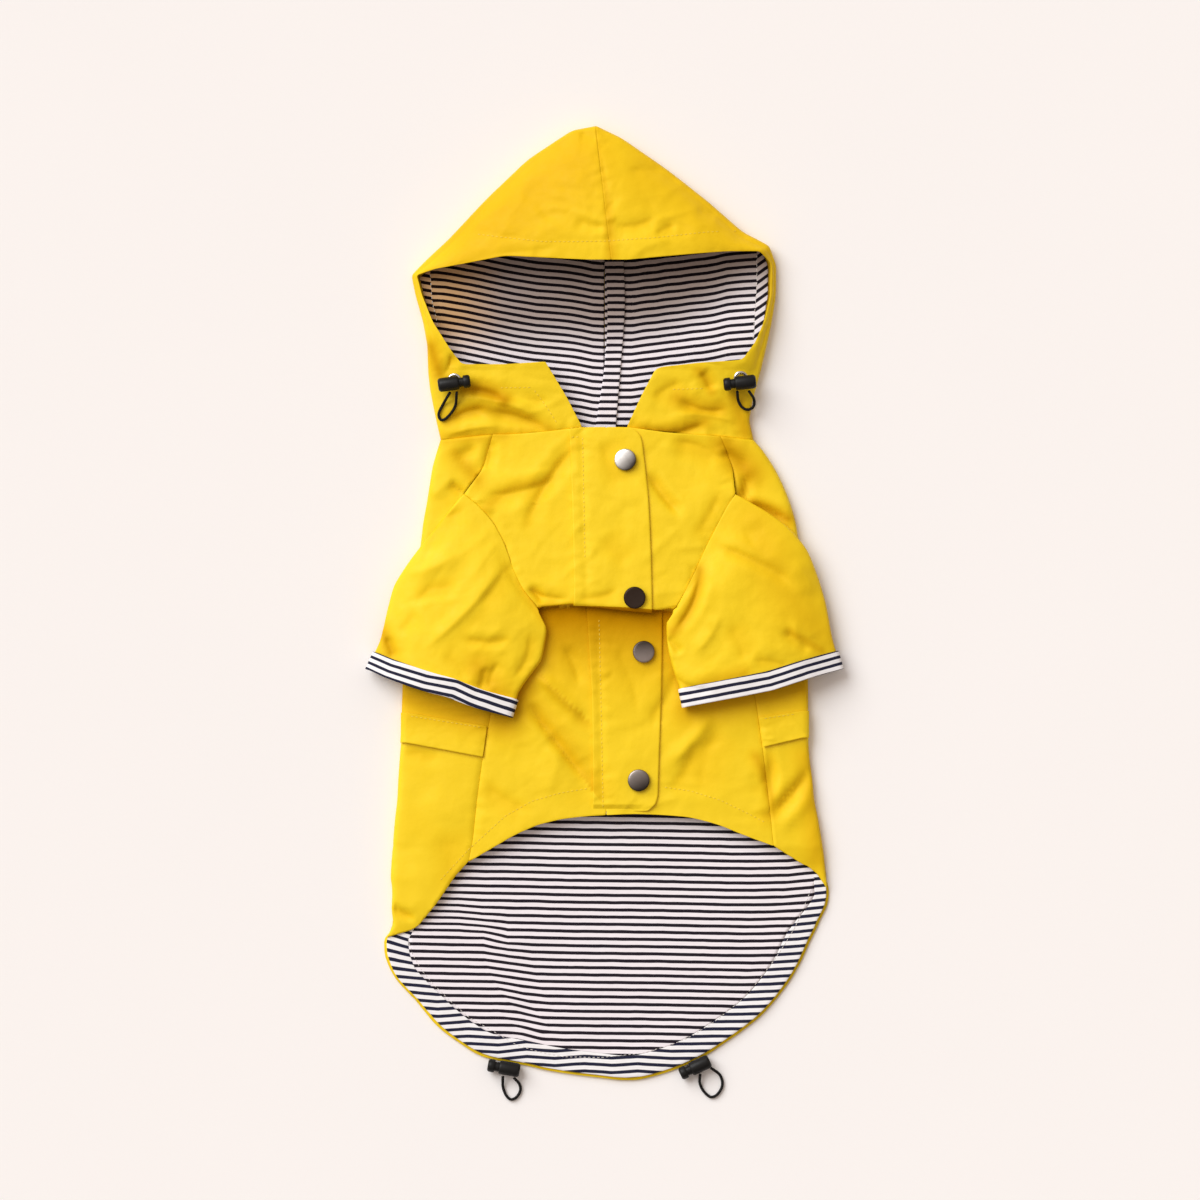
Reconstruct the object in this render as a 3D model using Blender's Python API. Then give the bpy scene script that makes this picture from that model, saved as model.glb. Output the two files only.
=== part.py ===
"""A hooded dog raincoat lying on its back: coated yellow shell, striped lining, snaps and cord locks.

All tables and sizes are in millimetres. +X is the viewer's right, +Y points to the hood, +Z up.
Every sewn piece is a cloth wall: a grid of mid-surface points, thickened along its normals.
"""

import math
from collections import namedtuple

import bmesh
import bpy
import numpy as np
from mathutils import Vector
from mathutils.bvhtree import BVHTree

MM = 0.001

# Cloth
SHELL = 1.2          # wall of the coated shell
TRIM = 1.0           # wall of lining, flaps, placket and sleeves
SEAM = 0.35          # clear width of a seam between two pieces
LAY = 0.35           # clear height between a piece and the one that lies on it
ROLL = 3.2           # radius of the side folds, at the middle of the wall
CROWN = 4.0          # how far the body's front rises between its folds
NECK_Y = 98.5
CENTRE_X = 1.0       # where the two fronts meet under the placket

# Loft of the sleeves
SLEEVE_LAY = 1.8     # lower layer of a sleeve over the body's side
CUFF_LIFT = 1.5      # more lift where the turned-up cuff passes under the sleeve
SLEEVE_ROLL = 2.3
SLEEVE_CROWN = 4.5
DROOP = 0.36         # slope of a sleeve past the body's side
DROOP_REACH = 90.0
CUFF_WIDTH = 11.5
SLEEVE_END = 0.95    # where along the way to the cuff's edge the sleeve ends, inside the cuff

# Chest fold: the chest hangs over the lower front as a Z of three layers
FOLD_RETURN_MIDDLE = 9.0
FOLD_RETURN_SIDE = 5.0

# Snaps
SNAP_RADIUS = 6.6
SNAP_RISE = 2.9

# Cord locks
BARREL_RADIUS = 4.2
BARREL_LENGTH = 12.5
BORE_RADIUS = 3.1
BORE_DEPTH = 8.8
STEM_RADIUS = 2.8
HEAD_RADIUS = 3.9
HEAD_LENGTH = 4.2
NECK_GAP = 2.8       # between the barrel's rim and the plunger's head
CORD_RADIUS = 0.85
CORD_POINTS = 18

BodyRow = namedtuple("BodyRow", "y left right")
BODY_ROWS = [BodyRow(*row) for row in (
    (98.5, -98.0, 89.0), (92.0, -100.0, 94.5), (81.5, -103.0, 101.5), (71.5, -104.5, 106.5),
    (65.5, -105.5, 109.0), (59.0, -106.5, 111.5), (48.5, -108.5, 114.5), (35.0, -110.0, 116.5),
    (20.5, -112.5, 118.0), (8.0, -115.0, 119.0), (-4.5, -116.5, 119.5), (-14.5, -118.0, 120.5),
    (-25.0, -119.0, 121.0), (-38.5, -120.5, 121.5), (-52.0, -121.0, 122.0), (-67.5, -121.5, 122.0),
    (-80.0, -121.5, 122.0), (-92.0, -122.5, 122.5), (-106.0, -123.5, 124.5), (-118.0, -124.0, 125.5),
    (-130.0, -125.5, 128.0), (-142.0, -126.5, 130.0), (-145.5, -126.5, 130.5), (-148.5, -127.0, 131.0),
    (-155.0, -127.5, 132.0), (-162.5, -128.0, 133.0), (-170.0, -128.0, 134.0), (-181.0, -129.5, 134.0),
    (-189.5, -130.5, 131.0), (-194.5, -131.0, 129.0), (-200.5, -132.0, 126.0), (-212.5, -131.5, 119.5),
    (-226.0, -127.5, 112.0), (-238.0, -119.0, 103.0), (-248.5, -108.5, 93.5), (-258.5, -95.5, 80.5),
    (-264.5, -86.5, 71.5), (-269.0, -80.0, 65.0), (-272.5, -73.0, 59.0), (-275.0, -62.0, 54.0),
    (-277.5, -47.0, 48.5), (-280.5, -35.0, 41.0), (-283.0, -19.0, 33.5), (-285.2, 0.0, 25.0),
    (-286.4, 9.0, 19.0),
)]

# Inner edge of the back's wrap-round sides: shoulder seam, armhole, side seam, then the hem
WRAP_LEFT = (
    (98.5, -67.0), (81.5, -72.5), (65.5, -84.5), (48.5, -88.0), (20.5, -89.0), (-4.5, -83.0), (-25.0, -73.0),
    (-38.5, -64.0), (-52.0, -65.5), (-67.5, -68.5), (-92.0, -73.0), (-118.0, -76.5), (-142.0, -79.0),
    (-155.0, -81.5), (-162.5, -88.5), (-170.0, -94.0), (-181.0, -102.5), (-189.5, -111.0), (-194.5, -118.0),
)
WRAP_RIGHT = (
    (98.5, 69.5), (81.5, 77.0), (65.5, 78.5), (48.5, 86.0), (20.5, 91.5), (-4.5, 88.5), (-25.0, 83.0),
    (-38.5, 86.0), (-52.0, 89.5), (-67.5, 92.0), (-92.0, 95.5), (-118.0, 98.5), (-142.0, 101.0),
    (-145.5, 101.5), (-148.5, 106.0), (-155.0, 116.5), (-162.5, 126.0),
)

# Armhole edge of each front, shoulder to chest fold, then under the sleeve to the side seam
ARMHOLE_LEFT = ((-84.5, 65.5), (-76.0, 59.0), (-66.5, 48.5), (-59.5, 35.0), (-55.0, 20.5), (-49.0, 8.0),
                (-40.0, -4.5))
ARMHOLE_RIGHT = ((78.5, 65.5), (74.0, 59.0), (68.5, 48.5), (61.5, 35.0), (55.0, 20.5), (49.0, 8.0),
                 (43.5, -4.5))
UNDERARM_LEFT = ((-40.0, -4.5), (-43.5, -14.5), (-50.5, -25.0), (-64.0, -38.5))
UNDERARM_RIGHT = ((43.5, -4.5), (47.5, -14.5), (62.0, -25.0), (86.0, -38.5))

# Outline of each sleeve in plan: outer and inner edge from the armhole to the cuff's edge
SLEEVE_OUTER_LEFT = ((-84.5, 65.5), (-98.5, 48.5), (-112.5, 31.0), (-125.0, 14.0), (-128.5, 2.0),
                     (-131.0, -10.0), (-134.0, -22.0), (-137.0, -28.5), (-142.0, -39.5))
SLEEVE_INNER_LEFT = ((-40.0, -4.5), (-34.5, -14.5), (-38.0, -34.0), (-46.0, -43.0), (-51.5, -52.0),
                     (-53.5, -58.5), (-56.5, -68.0))
CUFF_EDGE_LEFT = ((-142.0, -39.5), (-131.5, -44.5), (-109.0, -52.5), (-91.5, -56.5), (-81.5, -61.5),
                  (-66.5, -65.5), (-56.5, -68.0))
SLEEVE_OUTER_RIGHT = ((78.5, 65.5), (89.0, 59.5), (100.5, 53.0), (112.5, 44.0), (123.5, 29.0), (128.0, 14.0),
                      (132.0, 1.0), (137.0, -25.5), (139.0, -29.0), (142.0, -39.5))
SLEEVE_INNER_RIGHT = ((43.5, -4.5), (36.5, -12.5), (38.0, -26.5), (41.5, -40.0), (45.5, -50.5), (48.0, -62.0))
CUFF_EDGE_RIGHT = ((142.0, -39.5), (123.5, -44.5), (100.5, -52.0), (77.5, -56.5), (48.0, -62.0))

# Front edges in plan
NECKLINE = ((-98.0, 98.5), (-67.0, 101.5), (-55.0, 101.5), (-31.0, 103.5), (-13.5, 106.0), (13.5, 106.0),
            (37.5, 102.5), (69.5, 100.5), (89.0, 98.5))
CHEST_FOLD = ((-40.0, -2.5), (-18.5, -0.5), (-5.0, -1.5), (11.5, -3.5), (28.5, -5.0), (43.5, -2.5))
FRONT_HEM = ((-81.5, -155.0), (-74.5, -151.0), (-62.0, -143.5), (-49.0, -136.0), (-34.0, -130.5),
             (-17.0, -128.0), (-2.0, -127.0), (9.5, -126.5), (23.0, -126.0), (31.0, -126.5), (55.5, -128.5),
             (69.5, -133.0), (82.0, -138.5), (95.0, -143.0), (101.5, -145.5))

# Height of the chest over the body's front, at the armhole and at the middle
CHEST_SIDE = ((98.5, 0.0), (81.5, 0.8), (65.5, 3.2), (48.5, 4.2), (20.5, 5.0), (-4.5, 6.0))
CHEST_MIDDLE = ((98.5, 0.3), (65.5, 3.5), (20.5, 5.5), (-4.5, 7.0))

# Hood ribs, neck to peak: fold, free edge and back seam of each, with the free edge's rise
Rib = namedtuple("Rib", "fold_x fold_y rim_x rim_y back_y rise")
RIBS_LEFT = [Rib(*row) for row in (
    (-98.0, 98.5, -13.5, 106.0, 98.5, 3.9), (-100.0, 107.0, -23.0, 124.5, 107.0, 4.5),
    (-102.5, 119.0, -35.5, 145.0, 117.5, 5.0), (-104.5, 129.5, -59.5, 143.5, 125.5, 4.5),
    (-105.5, 139.0, -85.5, 143.5, 134.0, 4.0), (-106.0, 155.0, -92.5, 152.5, 152.0, 4.0),
    (-108.5, 169.0, -103.0, 169.0, 169.0, 3.0), (-113.0, 185.0, -109.5, 185.0, 185.0, 2.0),
    (-115.5, 197.0, -112.5, 197.0, 199.0, 1.5), (-106.5, 206.0, -101.5, 200.5, 211.0, 4.0),
    (-93.5, 218.0, -84.0, 203.5, 224.0, 9.0), (-71.0, 242.0, -59.5, 208.0, 242.0, 16.0),
    (-46.0, 266.0, -31.0, 206.5, 259.0, 21.0), (-19.5, 283.5, -9.5, 205.5, 268.0, 22.0),
    (-5.0, 286.2, 4.0, 205.5, 274.0, 22.0),
)]
RIBS_RIGHT = [Rib(*row) for row in (
    (89.0, 98.5, 13.5, 106.0, 98.5, 3.9), (86.5, 110.0, 22.0, 124.5, 107.0, 4.5),
    (88.5, 122.0, 31.0, 141.5, 117.5, 5.0), (91.0, 131.0, 57.5, 144.5, 125.5, 4.5),
    (93.5, 140.0, 82.5, 146.0, 134.0, 4.0), (97.0, 155.0, 90.5, 157.0, 152.0, 4.0),
    (100.0, 169.0, 95.5, 169.0, 169.0, 3.0), (102.5, 184.5, 99.5, 184.5, 185.0, 2.0),
    (102.7, 203.0, 99.8, 204.0, 199.0, 1.5), (98.6, 214.4, 93.0, 211.2, 211.0, 4.0),
    (82.5, 222.8, 72.5, 210.8, 224.0, 9.0), (60.5, 242.0, 51.5, 209.0, 242.0, 16.0),
    (37.5, 260.0, 30.5, 207.0, 259.0, 21.0), (10.0, 279.0, 14.0, 205.5, 268.0, 22.0),
    (-5.0, 286.2, 4.0, 205.5, 274.0, 22.0),
)]
HOOD_STEPS = 2       # grid rows between two ribs
SEAM_TOP_X = -5.0    # the hood's back seam leans to the peak
SEAM_LEAN_FROM = 200.0

Strip = namedtuple("Strip", "y left right")
PLACKET_UPPER = [Strip(*row) for row in (
    (98.0, -21.5, 17.5), (95.0, -21.0, 21.5), (90.0, -20.5, 23.5), (62.0, -19.5, 26.5), (26.0, -18.5, 28.0),
    (0.0, -18.5, 28.5),
)]
PLACKET_LOWER = [Strip(*row) for row in (
    (3.0, -11.0, 34.5), (-22.0, -9.5, 34.5), (-55.0, -7.5, 34.0), (-97.0, -7.0, 32.5), (-115.5, -7.0, 32.0),
    (-120.5, -7.0, 30.5), (-124.5, -7.0, 26.0),
)]
SEAM_BAND = [Strip(*row) for row in (
    (245.0, 0.5, 11.0), (204.5, 0.5, 11.5), (179.5, 2.0, 12.5), (158.0, 1.5, 11.0), (133.5, -1.0, 9.0),
    (109.5, -5.0, 7.0), (90.0, -6.5, 5.5),
)]

Snap = namedtuple("Snap", "x y strip")
SNAPS = (Snap(12.5, 86.0, "upper"), Snap(18.0, 3.5, "upper"), Snap(23.5, -29.0, "lower"),
         Snap(20.5, -106.0, "lower"))

Flap = namedtuple("Flap", "side top_in top_out bottom_in bottom_out")
FLAPS = (Flap("left", (-70.5, -73.5), (-118.5, -65.5), (-73.0, -92.0), (-119.0, -83.5)),
         Flap("right", (92.5, -68.5), (118.5, -64.5), (95.5, -86.0), (119.0, -80.5)))

# Facing round the tail, inset from the tail's edge
RIM_SHOWN = 1.6      # shell left showing outside the facing
FACING_WIDTH = 13.0
FACING_FROM_LEFT = -200.0
FACING_FROM_RIGHT = -168.0
LiningRow = namedtuple("LiningRow", "left_x left_y right_x right_y")
LINING_UNDER_FRONT = [LiningRow(*row) for row in (
    (-116.0, -120.0, 117.0, -118.0), (-118.0, -140.0, 120.0, -136.0), (-119.0, -158.0, 122.0, -152.0),
    (-118.5, -173.0, 122.0, -166.0),
)]

# Cord locks: middle of the barrel, the way its plunger points, and its loop of cord
Lock = namedtuple("Lock", "name x y toward loop")
LOCKS = (
    Lock("hood_left", -93.5, 131.5, 8.0,
         ((-92.5, 126.5), (-96.5, 120.0), (-99.5, 113.5), (-97.5, 110.0), (-93.5, 112.5), (-89.5, 118.5),
          (-88.5, 126.8))),
    Lock("hood_right", 84.5, 132.5, 186.0,
         ((79.5, 127.2), (80.2, 121.9), (82.5, 117.8), (86.2, 116.3), (89.4, 118.3), (89.6, 122.7),
          (86.5, 127.2))),
    Lock("tail_left", -57.0, -279.4, 170.0,
         ((-61.0, -283.9), (-61.0, -290.4), (-59.0, -295.6), (-56.0, -298.0), (-52.5, -296.2), (-50.5, -292.2),
          (-51.4, -288.2), (-54.4, -284.9))),
    Lock("tail_right", 57.5, -277.1, 205.0,
         ((57.5, -282.5), (57.2, -287.6), (59.4, -292.8), (64.0, -296.5), (68.2, -294.5), (70.8, -289.2),
          (69.3, -283.2), (63.9, -278.9))),
)
EYELETS = (("eyelet_left", -90.0, 134.0), ("eyelet_right", 81.5, 135.5))
EYELET_OUTER = 4.2
EYELET_INNER = 2.3
EYELET_HEIGHT = 0.9


# ---------------------------------------------------------------- small helpers

def smooth(t):
    t = np.clip(t, 0.0, 1.0)
    return t * t * (3.0 - 2.0 * t)


def lerp(a, b, t):
    return a + (b - a) * t


def look_up(table, y):
    """Straight-line value at y of a table whose first column falls."""
    rows = np.array(table, float)[::-1]
    return np.interp(y, rows[:, 0], rows[:, 1])


def along_x(table, x):
    """Straight-line value at x of a table whose first column rises."""
    rows = np.array(table, float)
    return np.interp(x, rows[:, 0], rows[:, 1])


def chord_shares(points):
    """Share of its length at which each point of a polyline lies."""
    steps = np.linalg.norm(np.diff(points, axis=0), axis=1)
    return np.concatenate([[0.0], np.cumsum(steps)]) / steps.sum()


def on_line(points, shares):
    """Points at given shares of a polyline's length."""
    points = np.array(points, float)
    at = chord_shares(points)
    return np.stack([np.interp(shares, at, points[:, k]) for k in range(points.shape[1])], axis=-1)


def curve_through(points, count):
    """A smooth open curve through the points (Catmull-Rom), read at even steps of its length."""
    points = np.array(points, float)
    ends = np.vstack([2 * points[0] - points[1], points, 2 * points[-1] - points[-2]])
    fine = []
    for a, b, c, d in zip(ends[:-3], ends[1:-2], ends[2:-1], ends[3:]):
        for t in np.linspace(0.0, 1.0, 12, endpoint=False):
            fine.append(0.5 * (2 * b + (c - a) * t + (2 * a - 5 * b + 4 * c - d) * t ** 2
                               + (3 * b - a - 3 * c + d) * t ** 3))
    fine.append(points[-1])
    return on_line(fine, np.linspace(0.0, 1.0, count))


def fabric(name, colour, roughness=0.55, metallic=0.0):
    material = bpy.data.materials.new(name)
    material.use_nodes = True
    shader = material.node_tree.nodes["Principled BSDF"]
    shader.inputs["Base Color"].default_value = (*colour, 1.0)
    shader.inputs["Roughness"].default_value = roughness
    shader.inputs["Metallic"].default_value = metallic
    return material


def add_object(name, mesh, material, parent):
    mesh.materials.append(material)
    thing = bpy.data.objects.new(name, mesh)
    bpy.context.scene.collection.objects.link(thing)
    thing.parent = parent
    return thing


# ---------------------------------------------------------------- cloth walls

def grid_normals(grid, present):
    """Unit normals of the grid's points, from the quads that are present."""
    normals = np.zeros_like(grid)
    first = grid[1:, 1:] - grid[:-1, :-1]
    second = grid[1:, :-1] - grid[:-1, 1:]
    faces = np.cross(second, first) * present[..., None]
    for rows in (slice(0, -1), slice(1, None)):
        for columns in (slice(0, -1), slice(1, None)):
            normals[rows, columns] += faces
    lengths = np.linalg.norm(normals, axis=2, keepdims=True)
    return normals / np.maximum(lengths, 1e-9)


def surface_of(grid):
    """A tree of the grid's mid-surface, to read its height at a point in plan."""
    grid = np.array(grid, float)
    rows, columns, _ = grid.shape
    corners = [tuple(point) for point in grid.reshape(-1, 3)]
    quads = [(i * columns + j, i * columns + j + 1, (i + 1) * columns + j + 1, (i + 1) * columns + j)
             for i in range(rows - 1) for j in range(columns - 1)]
    return BVHTree.FromPolygons(corners, quads)


def height_on(tree, x, y):
    """Height and upward normal of a surface under a point in plan, or of its nearest point past its edge."""
    hit, normal, _, _ = tree.ray_cast(Vector((x, y, 100.0)), Vector((0.0, 0.0, -1.0)))
    if hit is None:
        hit, normal, _, _ = tree.find_nearest(Vector((x, y, 2.5 * ROLL)))
    return hit.z, normal if normal.z > 0.0 else -normal


def rim_edges(present):
    """Pairs of grid indices along the outside of the quads that are present, in face order."""
    rows, columns = present.shape
    padded = np.pad(present, 1)
    edges = []
    for i in range(rows):
        for j in range(columns):
            if not present[i, j]:
                continue
            if not padded[i, j + 1]:
                edges.append(((i, j), (i, j + 1)))
            if not padded[i + 2, j + 1]:
                edges.append(((i + 1, j + 1), (i + 1, j)))
            if not padded[i + 1, j]:
                edges.append(((i + 1, j), (i, j)))
            if not padded[i + 1, j + 2]:
                edges.append(((i, j + 1), (i + 1, j + 1)))
    return edges


def upright_rims(grid, normals, edges, last_row_across):
    """Turn the normals along the rims into upright planes, so that seams stay evenly open."""
    tangents = np.zeros_like(grid)
    for a, b in edges:
        step = grid[b] - grid[a]
        tangents[a] += step
        tangents[b] += step
    for index in {end for edge in edges for end in edge}:
        tangent = tangents[index]
        level = np.array([-tangent[1], tangent[0], 0.0])
        if np.linalg.norm(level) < 0.5 * np.linalg.norm(tangent) or abs(normals[index][2]) < 0.5:
            if index[0] == len(grid) - 1:
                level = np.array(last_row_across)
            elif index[0] == 0:
                level = np.array((0.0, 1.0, 0.0))
            else:
                level = np.array((1.0, 0.0, 0.0))
        level = level / np.linalg.norm(level)
        straight = normals[index] - normals[index].dot(level) * level
        normals[index] = straight / np.linalg.norm(straight)


def cloth_wall(name, grid, thickness, material, parent, present=None, last_row_across=(0.0, 1.0, 0.0)):
    """One closed wall of cloth round a grid of mid-surface points."""
    grid = np.array(grid, float)
    if present is None:
        present = np.ones((grid.shape[0] - 1, grid.shape[1] - 1), bool)
    normals = grid_normals(grid, present)
    edges = rim_edges(present)
    upright_rims(grid, normals, edges, last_row_across)
    mesh = bpy.data.meshes.new(name)
    shape = bmesh.new()
    sides = []
    for side in (0.5, -0.5):
        points = (grid + normals * thickness * side) * MM
        sides.append({})
        for i, j in zip(*np.nonzero(present)):
            for index in ((i, j), (i, j + 1), (i + 1, j + 1), (i + 1, j)):
                if index not in sides[-1]:
                    sides[-1][index] = shape.verts.new(points[index])
    outside, inside = sides
    for i, j in zip(*np.nonzero(present)):
        ring = ((i, j), (i, j + 1), (i + 1, j + 1), (i + 1, j))
        shape.faces.new([outside[index] for index in ring])
        shape.faces.new([inside[index] for index in reversed(ring)])
    for a, b in edges:
        shape.faces.new([outside[b], outside[a], inside[a], inside[b]])
    if shape.calc_volume(signed=True) < 0.0:
        bmesh.ops.reverse_faces(shape, faces=shape.faces[:])
    shape.to_mesh(mesh)
    shape.free()
    mesh.shade_smooth()
    mesh.set_sharp_from_angle(angle=math.radians(40.0))
    return add_object(name, mesh, material, parent)


# ---------------------------------------------------------------- heights of the laid-out body

LEFT_FOLD = tuple((row.y, row.left) for row in BODY_ROWS)
RIGHT_FOLD = tuple((row.y, row.right) for row in BODY_ROWS)
ROLL_LEFT = ((98.5, ROLL), (-178.0, ROLL), (-194.5, 1.4))
ROLL_RIGHT = ((98.5, ROLL), (-145.5, ROLL), (-162.5, 1.4))


def body_top(x, y):
    """Mid-height of the body's upper layer."""
    left = look_up(LEFT_FOLD, y)
    right = look_up(RIGHT_FOLD, y)
    share = np.clip((x - left) / (right - left), 0.0, 1.0)
    roll = lerp(look_up(ROLL_LEFT, y), look_up(ROLL_RIGHT, y), smooth(share))
    return SHELL / 2 + 2 * roll + CROWN * np.sin(math.pi * share)


def sleeve_base(x, y):
    """Height that a sleeve lies on: the body, then drooping past its side folds."""
    left = look_up(LEFT_FOLD, y) + ROLL
    right = look_up(RIGHT_FOLD, y) - ROLL
    past = np.maximum(np.maximum(left - x, x - right), 0.0)
    inside = np.clip(x, left, right)
    return body_top(inside, y) - DROOP * past * (1.0 - past / DROOP_REACH)


def neck_shift(x, y):
    """How far a row near the neck follows the neckline."""
    return (along_x(NECKLINE, x) - NECK_Y) * (1.0 - smooth((NECK_Y - y) / 17.0))


# ---------------------------------------------------------------- back

BOTTOM_COLUMNS = 4
WRAP_COLUMNS = 3
ROLL_STEPS = 4


def roll_points(centre_x, outward, radius, y, z_low, steps=ROLL_STEPS):
    """Half circle of a side fold, from its bottom to its top."""
    angles = np.linspace(-math.pi / 2, math.pi / 2, steps + 1)
    return np.stack([centre_x + outward * radius * np.cos(angles), np.full(steps + 1, y),
                     z_low + radius + radius * np.sin(angles)], axis=1)


def back_row(row, number):
    """One girth of the back: left wrap, left fold, floor, right fold, right wrap."""
    y = row.y
    has_left = y >= WRAP_LEFT[-1][0]
    has_right = y >= WRAP_RIGHT[-1][0]
    floor = SHELL / 2
    radius_l = look_up(ROLL_LEFT, y) if has_left else 0.0
    radius_r = look_up(ROLL_RIGHT, y) if has_right else 0.0
    centre_l = row.left + radius_l
    centre_r = row.right - radius_r
    bottom_x = np.linspace(centre_l, centre_r, BOTTOM_COLUMNS)
    bottom = np.stack([bottom_x, np.full(BOTTOM_COLUMNS, y), np.full(BOTTOM_COLUMNS, floor)], axis=1)
    left = np.repeat(bottom[:1], WRAP_COLUMNS + ROLL_STEPS, axis=0)
    right = np.repeat(bottom[-1:], WRAP_COLUMNS + ROLL_STEPS, axis=0)
    if has_left:
        roll = roll_points(centre_l, -1.0, radius_l, y, floor)[1:]
        wrap_x = np.linspace(centre_l, look_up(WRAP_LEFT, y) - SEAM / 2, WRAP_COLUMNS + 1)[1:]
        wrap = np.stack([wrap_x, y + neck_shift(wrap_x, y), body_top(wrap_x, y)], axis=1)
        left = np.vstack([wrap[::-1], roll[::-1]])
    if has_right:
        roll = roll_points(centre_r, 1.0, radius_r, y, floor)[1:]
        wrap_x = np.linspace(centre_r, look_up(WRAP_RIGHT, y) + SEAM / 2, WRAP_COLUMNS + 1)[1:]
        wrap = np.stack([wrap_x, y + neck_shift(wrap_x, y), body_top(wrap_x, y)], axis=1)
        right = np.vstack([roll, wrap])
    points = np.vstack([left, bottom, right])
    if number == 0:
        points[:, 1] -= SEAM / 2
    return points


def build_back(material, parent):
    grid = np.array([back_row(row, number) for number, row in enumerate(BODY_ROWS)])
    present = np.ones((grid.shape[0] - 1, grid.shape[1] - 1), bool)
    side = WRAP_COLUMNS + ROLL_STEPS
    for number, row in enumerate(BODY_ROWS[1:]):
        present[number, :side] = row.y >= WRAP_LEFT[-1][0]
        present[number, -side:] = row.y >= WRAP_RIGHT[-1][0]
    cloth_wall("back", grid, SHELL, material, parent, present)


def tail_edge():
    """The tail's outline in plan, from the left fold round the end to the right fold."""
    left = [(row.left, row.y) for row in BODY_ROWS if row.y <= FACING_FROM_LEFT]
    right = [(row.right, row.y) for row in reversed(BODY_ROWS) if row.y <= FACING_FROM_RIGHT]
    return np.array(left + right)


def inset(line, distance):
    """A plan line moved to its left-hand side, smoothed a little at its corners."""
    ahead = np.gradient(line, axis=0)
    side = np.stack([-ahead[:, 1], ahead[:, 0]], axis=1)
    side /= np.linalg.norm(side, axis=1, keepdims=True)
    return line + side * distance


def build_tail_lining(lining, parent):
    edge = on_line(tail_edge(), np.linspace(0.0, 1.0, 44))
    level = SHELL + LAY + TRIM / 2
    widths = (RIM_SHOWN, RIM_SHOWN + FACING_WIDTH)
    rings = [inset(edge, width) for width in widths]
    grid = np.array([[(x, y, level) for x, y in ring] for ring in rings])
    cloth_wall("tail_facing", grid, TRIM, lining, parent)

    inner = inset(edge, widths[-1] + SEAM)
    count = len(inner) // 2
    columns = np.linspace(0.0, 1.0, 3)
    ends = [((row.left_x, row.left_y), (row.right_x, row.right_y)) for row in LINING_UNDER_FRONT]
    ends += [(inner[i], inner[-1 - i]) for i in range(count)]
    rows = []
    for start, end in ends:
        line = lerp(np.array(start)[None], np.array(end)[None], columns[:, None])
        rows.append([(x, y, level) for x, y in line])
    cloth_wall("tail_lining", rows, TRIM, lining, parent)


# ---------------------------------------------------------------- fronts

FRONT_COLUMNS = 7
UPPER_ROWS = (98.5, 92.0, 81.5, 71.5, 65.5, 59.0, 48.5, 35.0, 20.5, 8.0)
LOWER_ROWS_LEFT = (-14.5, -25.0, -38.5, -52.0, -67.5, -92.0, -106.0, -118.0, -130.0, -142.0, -155.0)
LOWER_ROWS_RIGHT = (-14.5, -25.0, -38.5, -52.0, -67.5, -92.0, -106.0, -118.0, -130.0, -142.0, -145.5)

Side = namedtuple("Side", "sign wrap armhole underarm outer inner cuff lower_rows")
LEFT = Side(-1.0, WRAP_LEFT, ARMHOLE_LEFT, UNDERARM_LEFT, SLEEVE_OUTER_LEFT, SLEEVE_INNER_LEFT, CUFF_EDGE_LEFT,
            LOWER_ROWS_LEFT)
RIGHT = Side(1.0, WRAP_RIGHT, ARMHOLE_RIGHT, UNDERARM_RIGHT, SLEEVE_OUTER_RIGHT, SLEEVE_INNER_RIGHT,
             CUFF_EDGE_RIGHT, LOWER_ROWS_RIGHT)


def upper_edge(side, y):
    """Outer edge of a front above the chest fold: shoulder seam, then armhole."""
    shoulder_end = side.armhole[0][1]
    if y >= shoulder_end:
        return look_up(side.wrap, y) - side.sign * SEAM / 2
    armhole = [(point[1], point[0]) for point in side.armhole]
    return look_up(armhole, y) - side.sign * SEAM / 2


def lower_edge(side, y):
    """Outer edge of a front below the chest fold: under the arm, then side seam."""
    under_end = side.underarm[-1][1]
    if y <= under_end:
        return look_up(side.wrap, y) - side.sign * SEAM / 2
    underarm = [(point[1], point[0]) for point in side.underarm]
    return look_up(underarm, y) - side.sign * SEAM / 2


def chest_rise(side, x, y):
    """Height of the chest layer over the body's front."""
    edge = upper_edge(side, y)
    inward = np.clip((x - edge) / (CENTRE_X - edge), 0.0, 1.0)
    return lerp(look_up(CHEST_SIDE, y), look_up(CHEST_MIDDLE, y), smooth(inward * 1.4))


def fold_line(x):
    """Lowest reach of the chest fold, at the middle of its wall."""
    return along_x(CHEST_FOLD, x) + SHELL / 2


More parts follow.
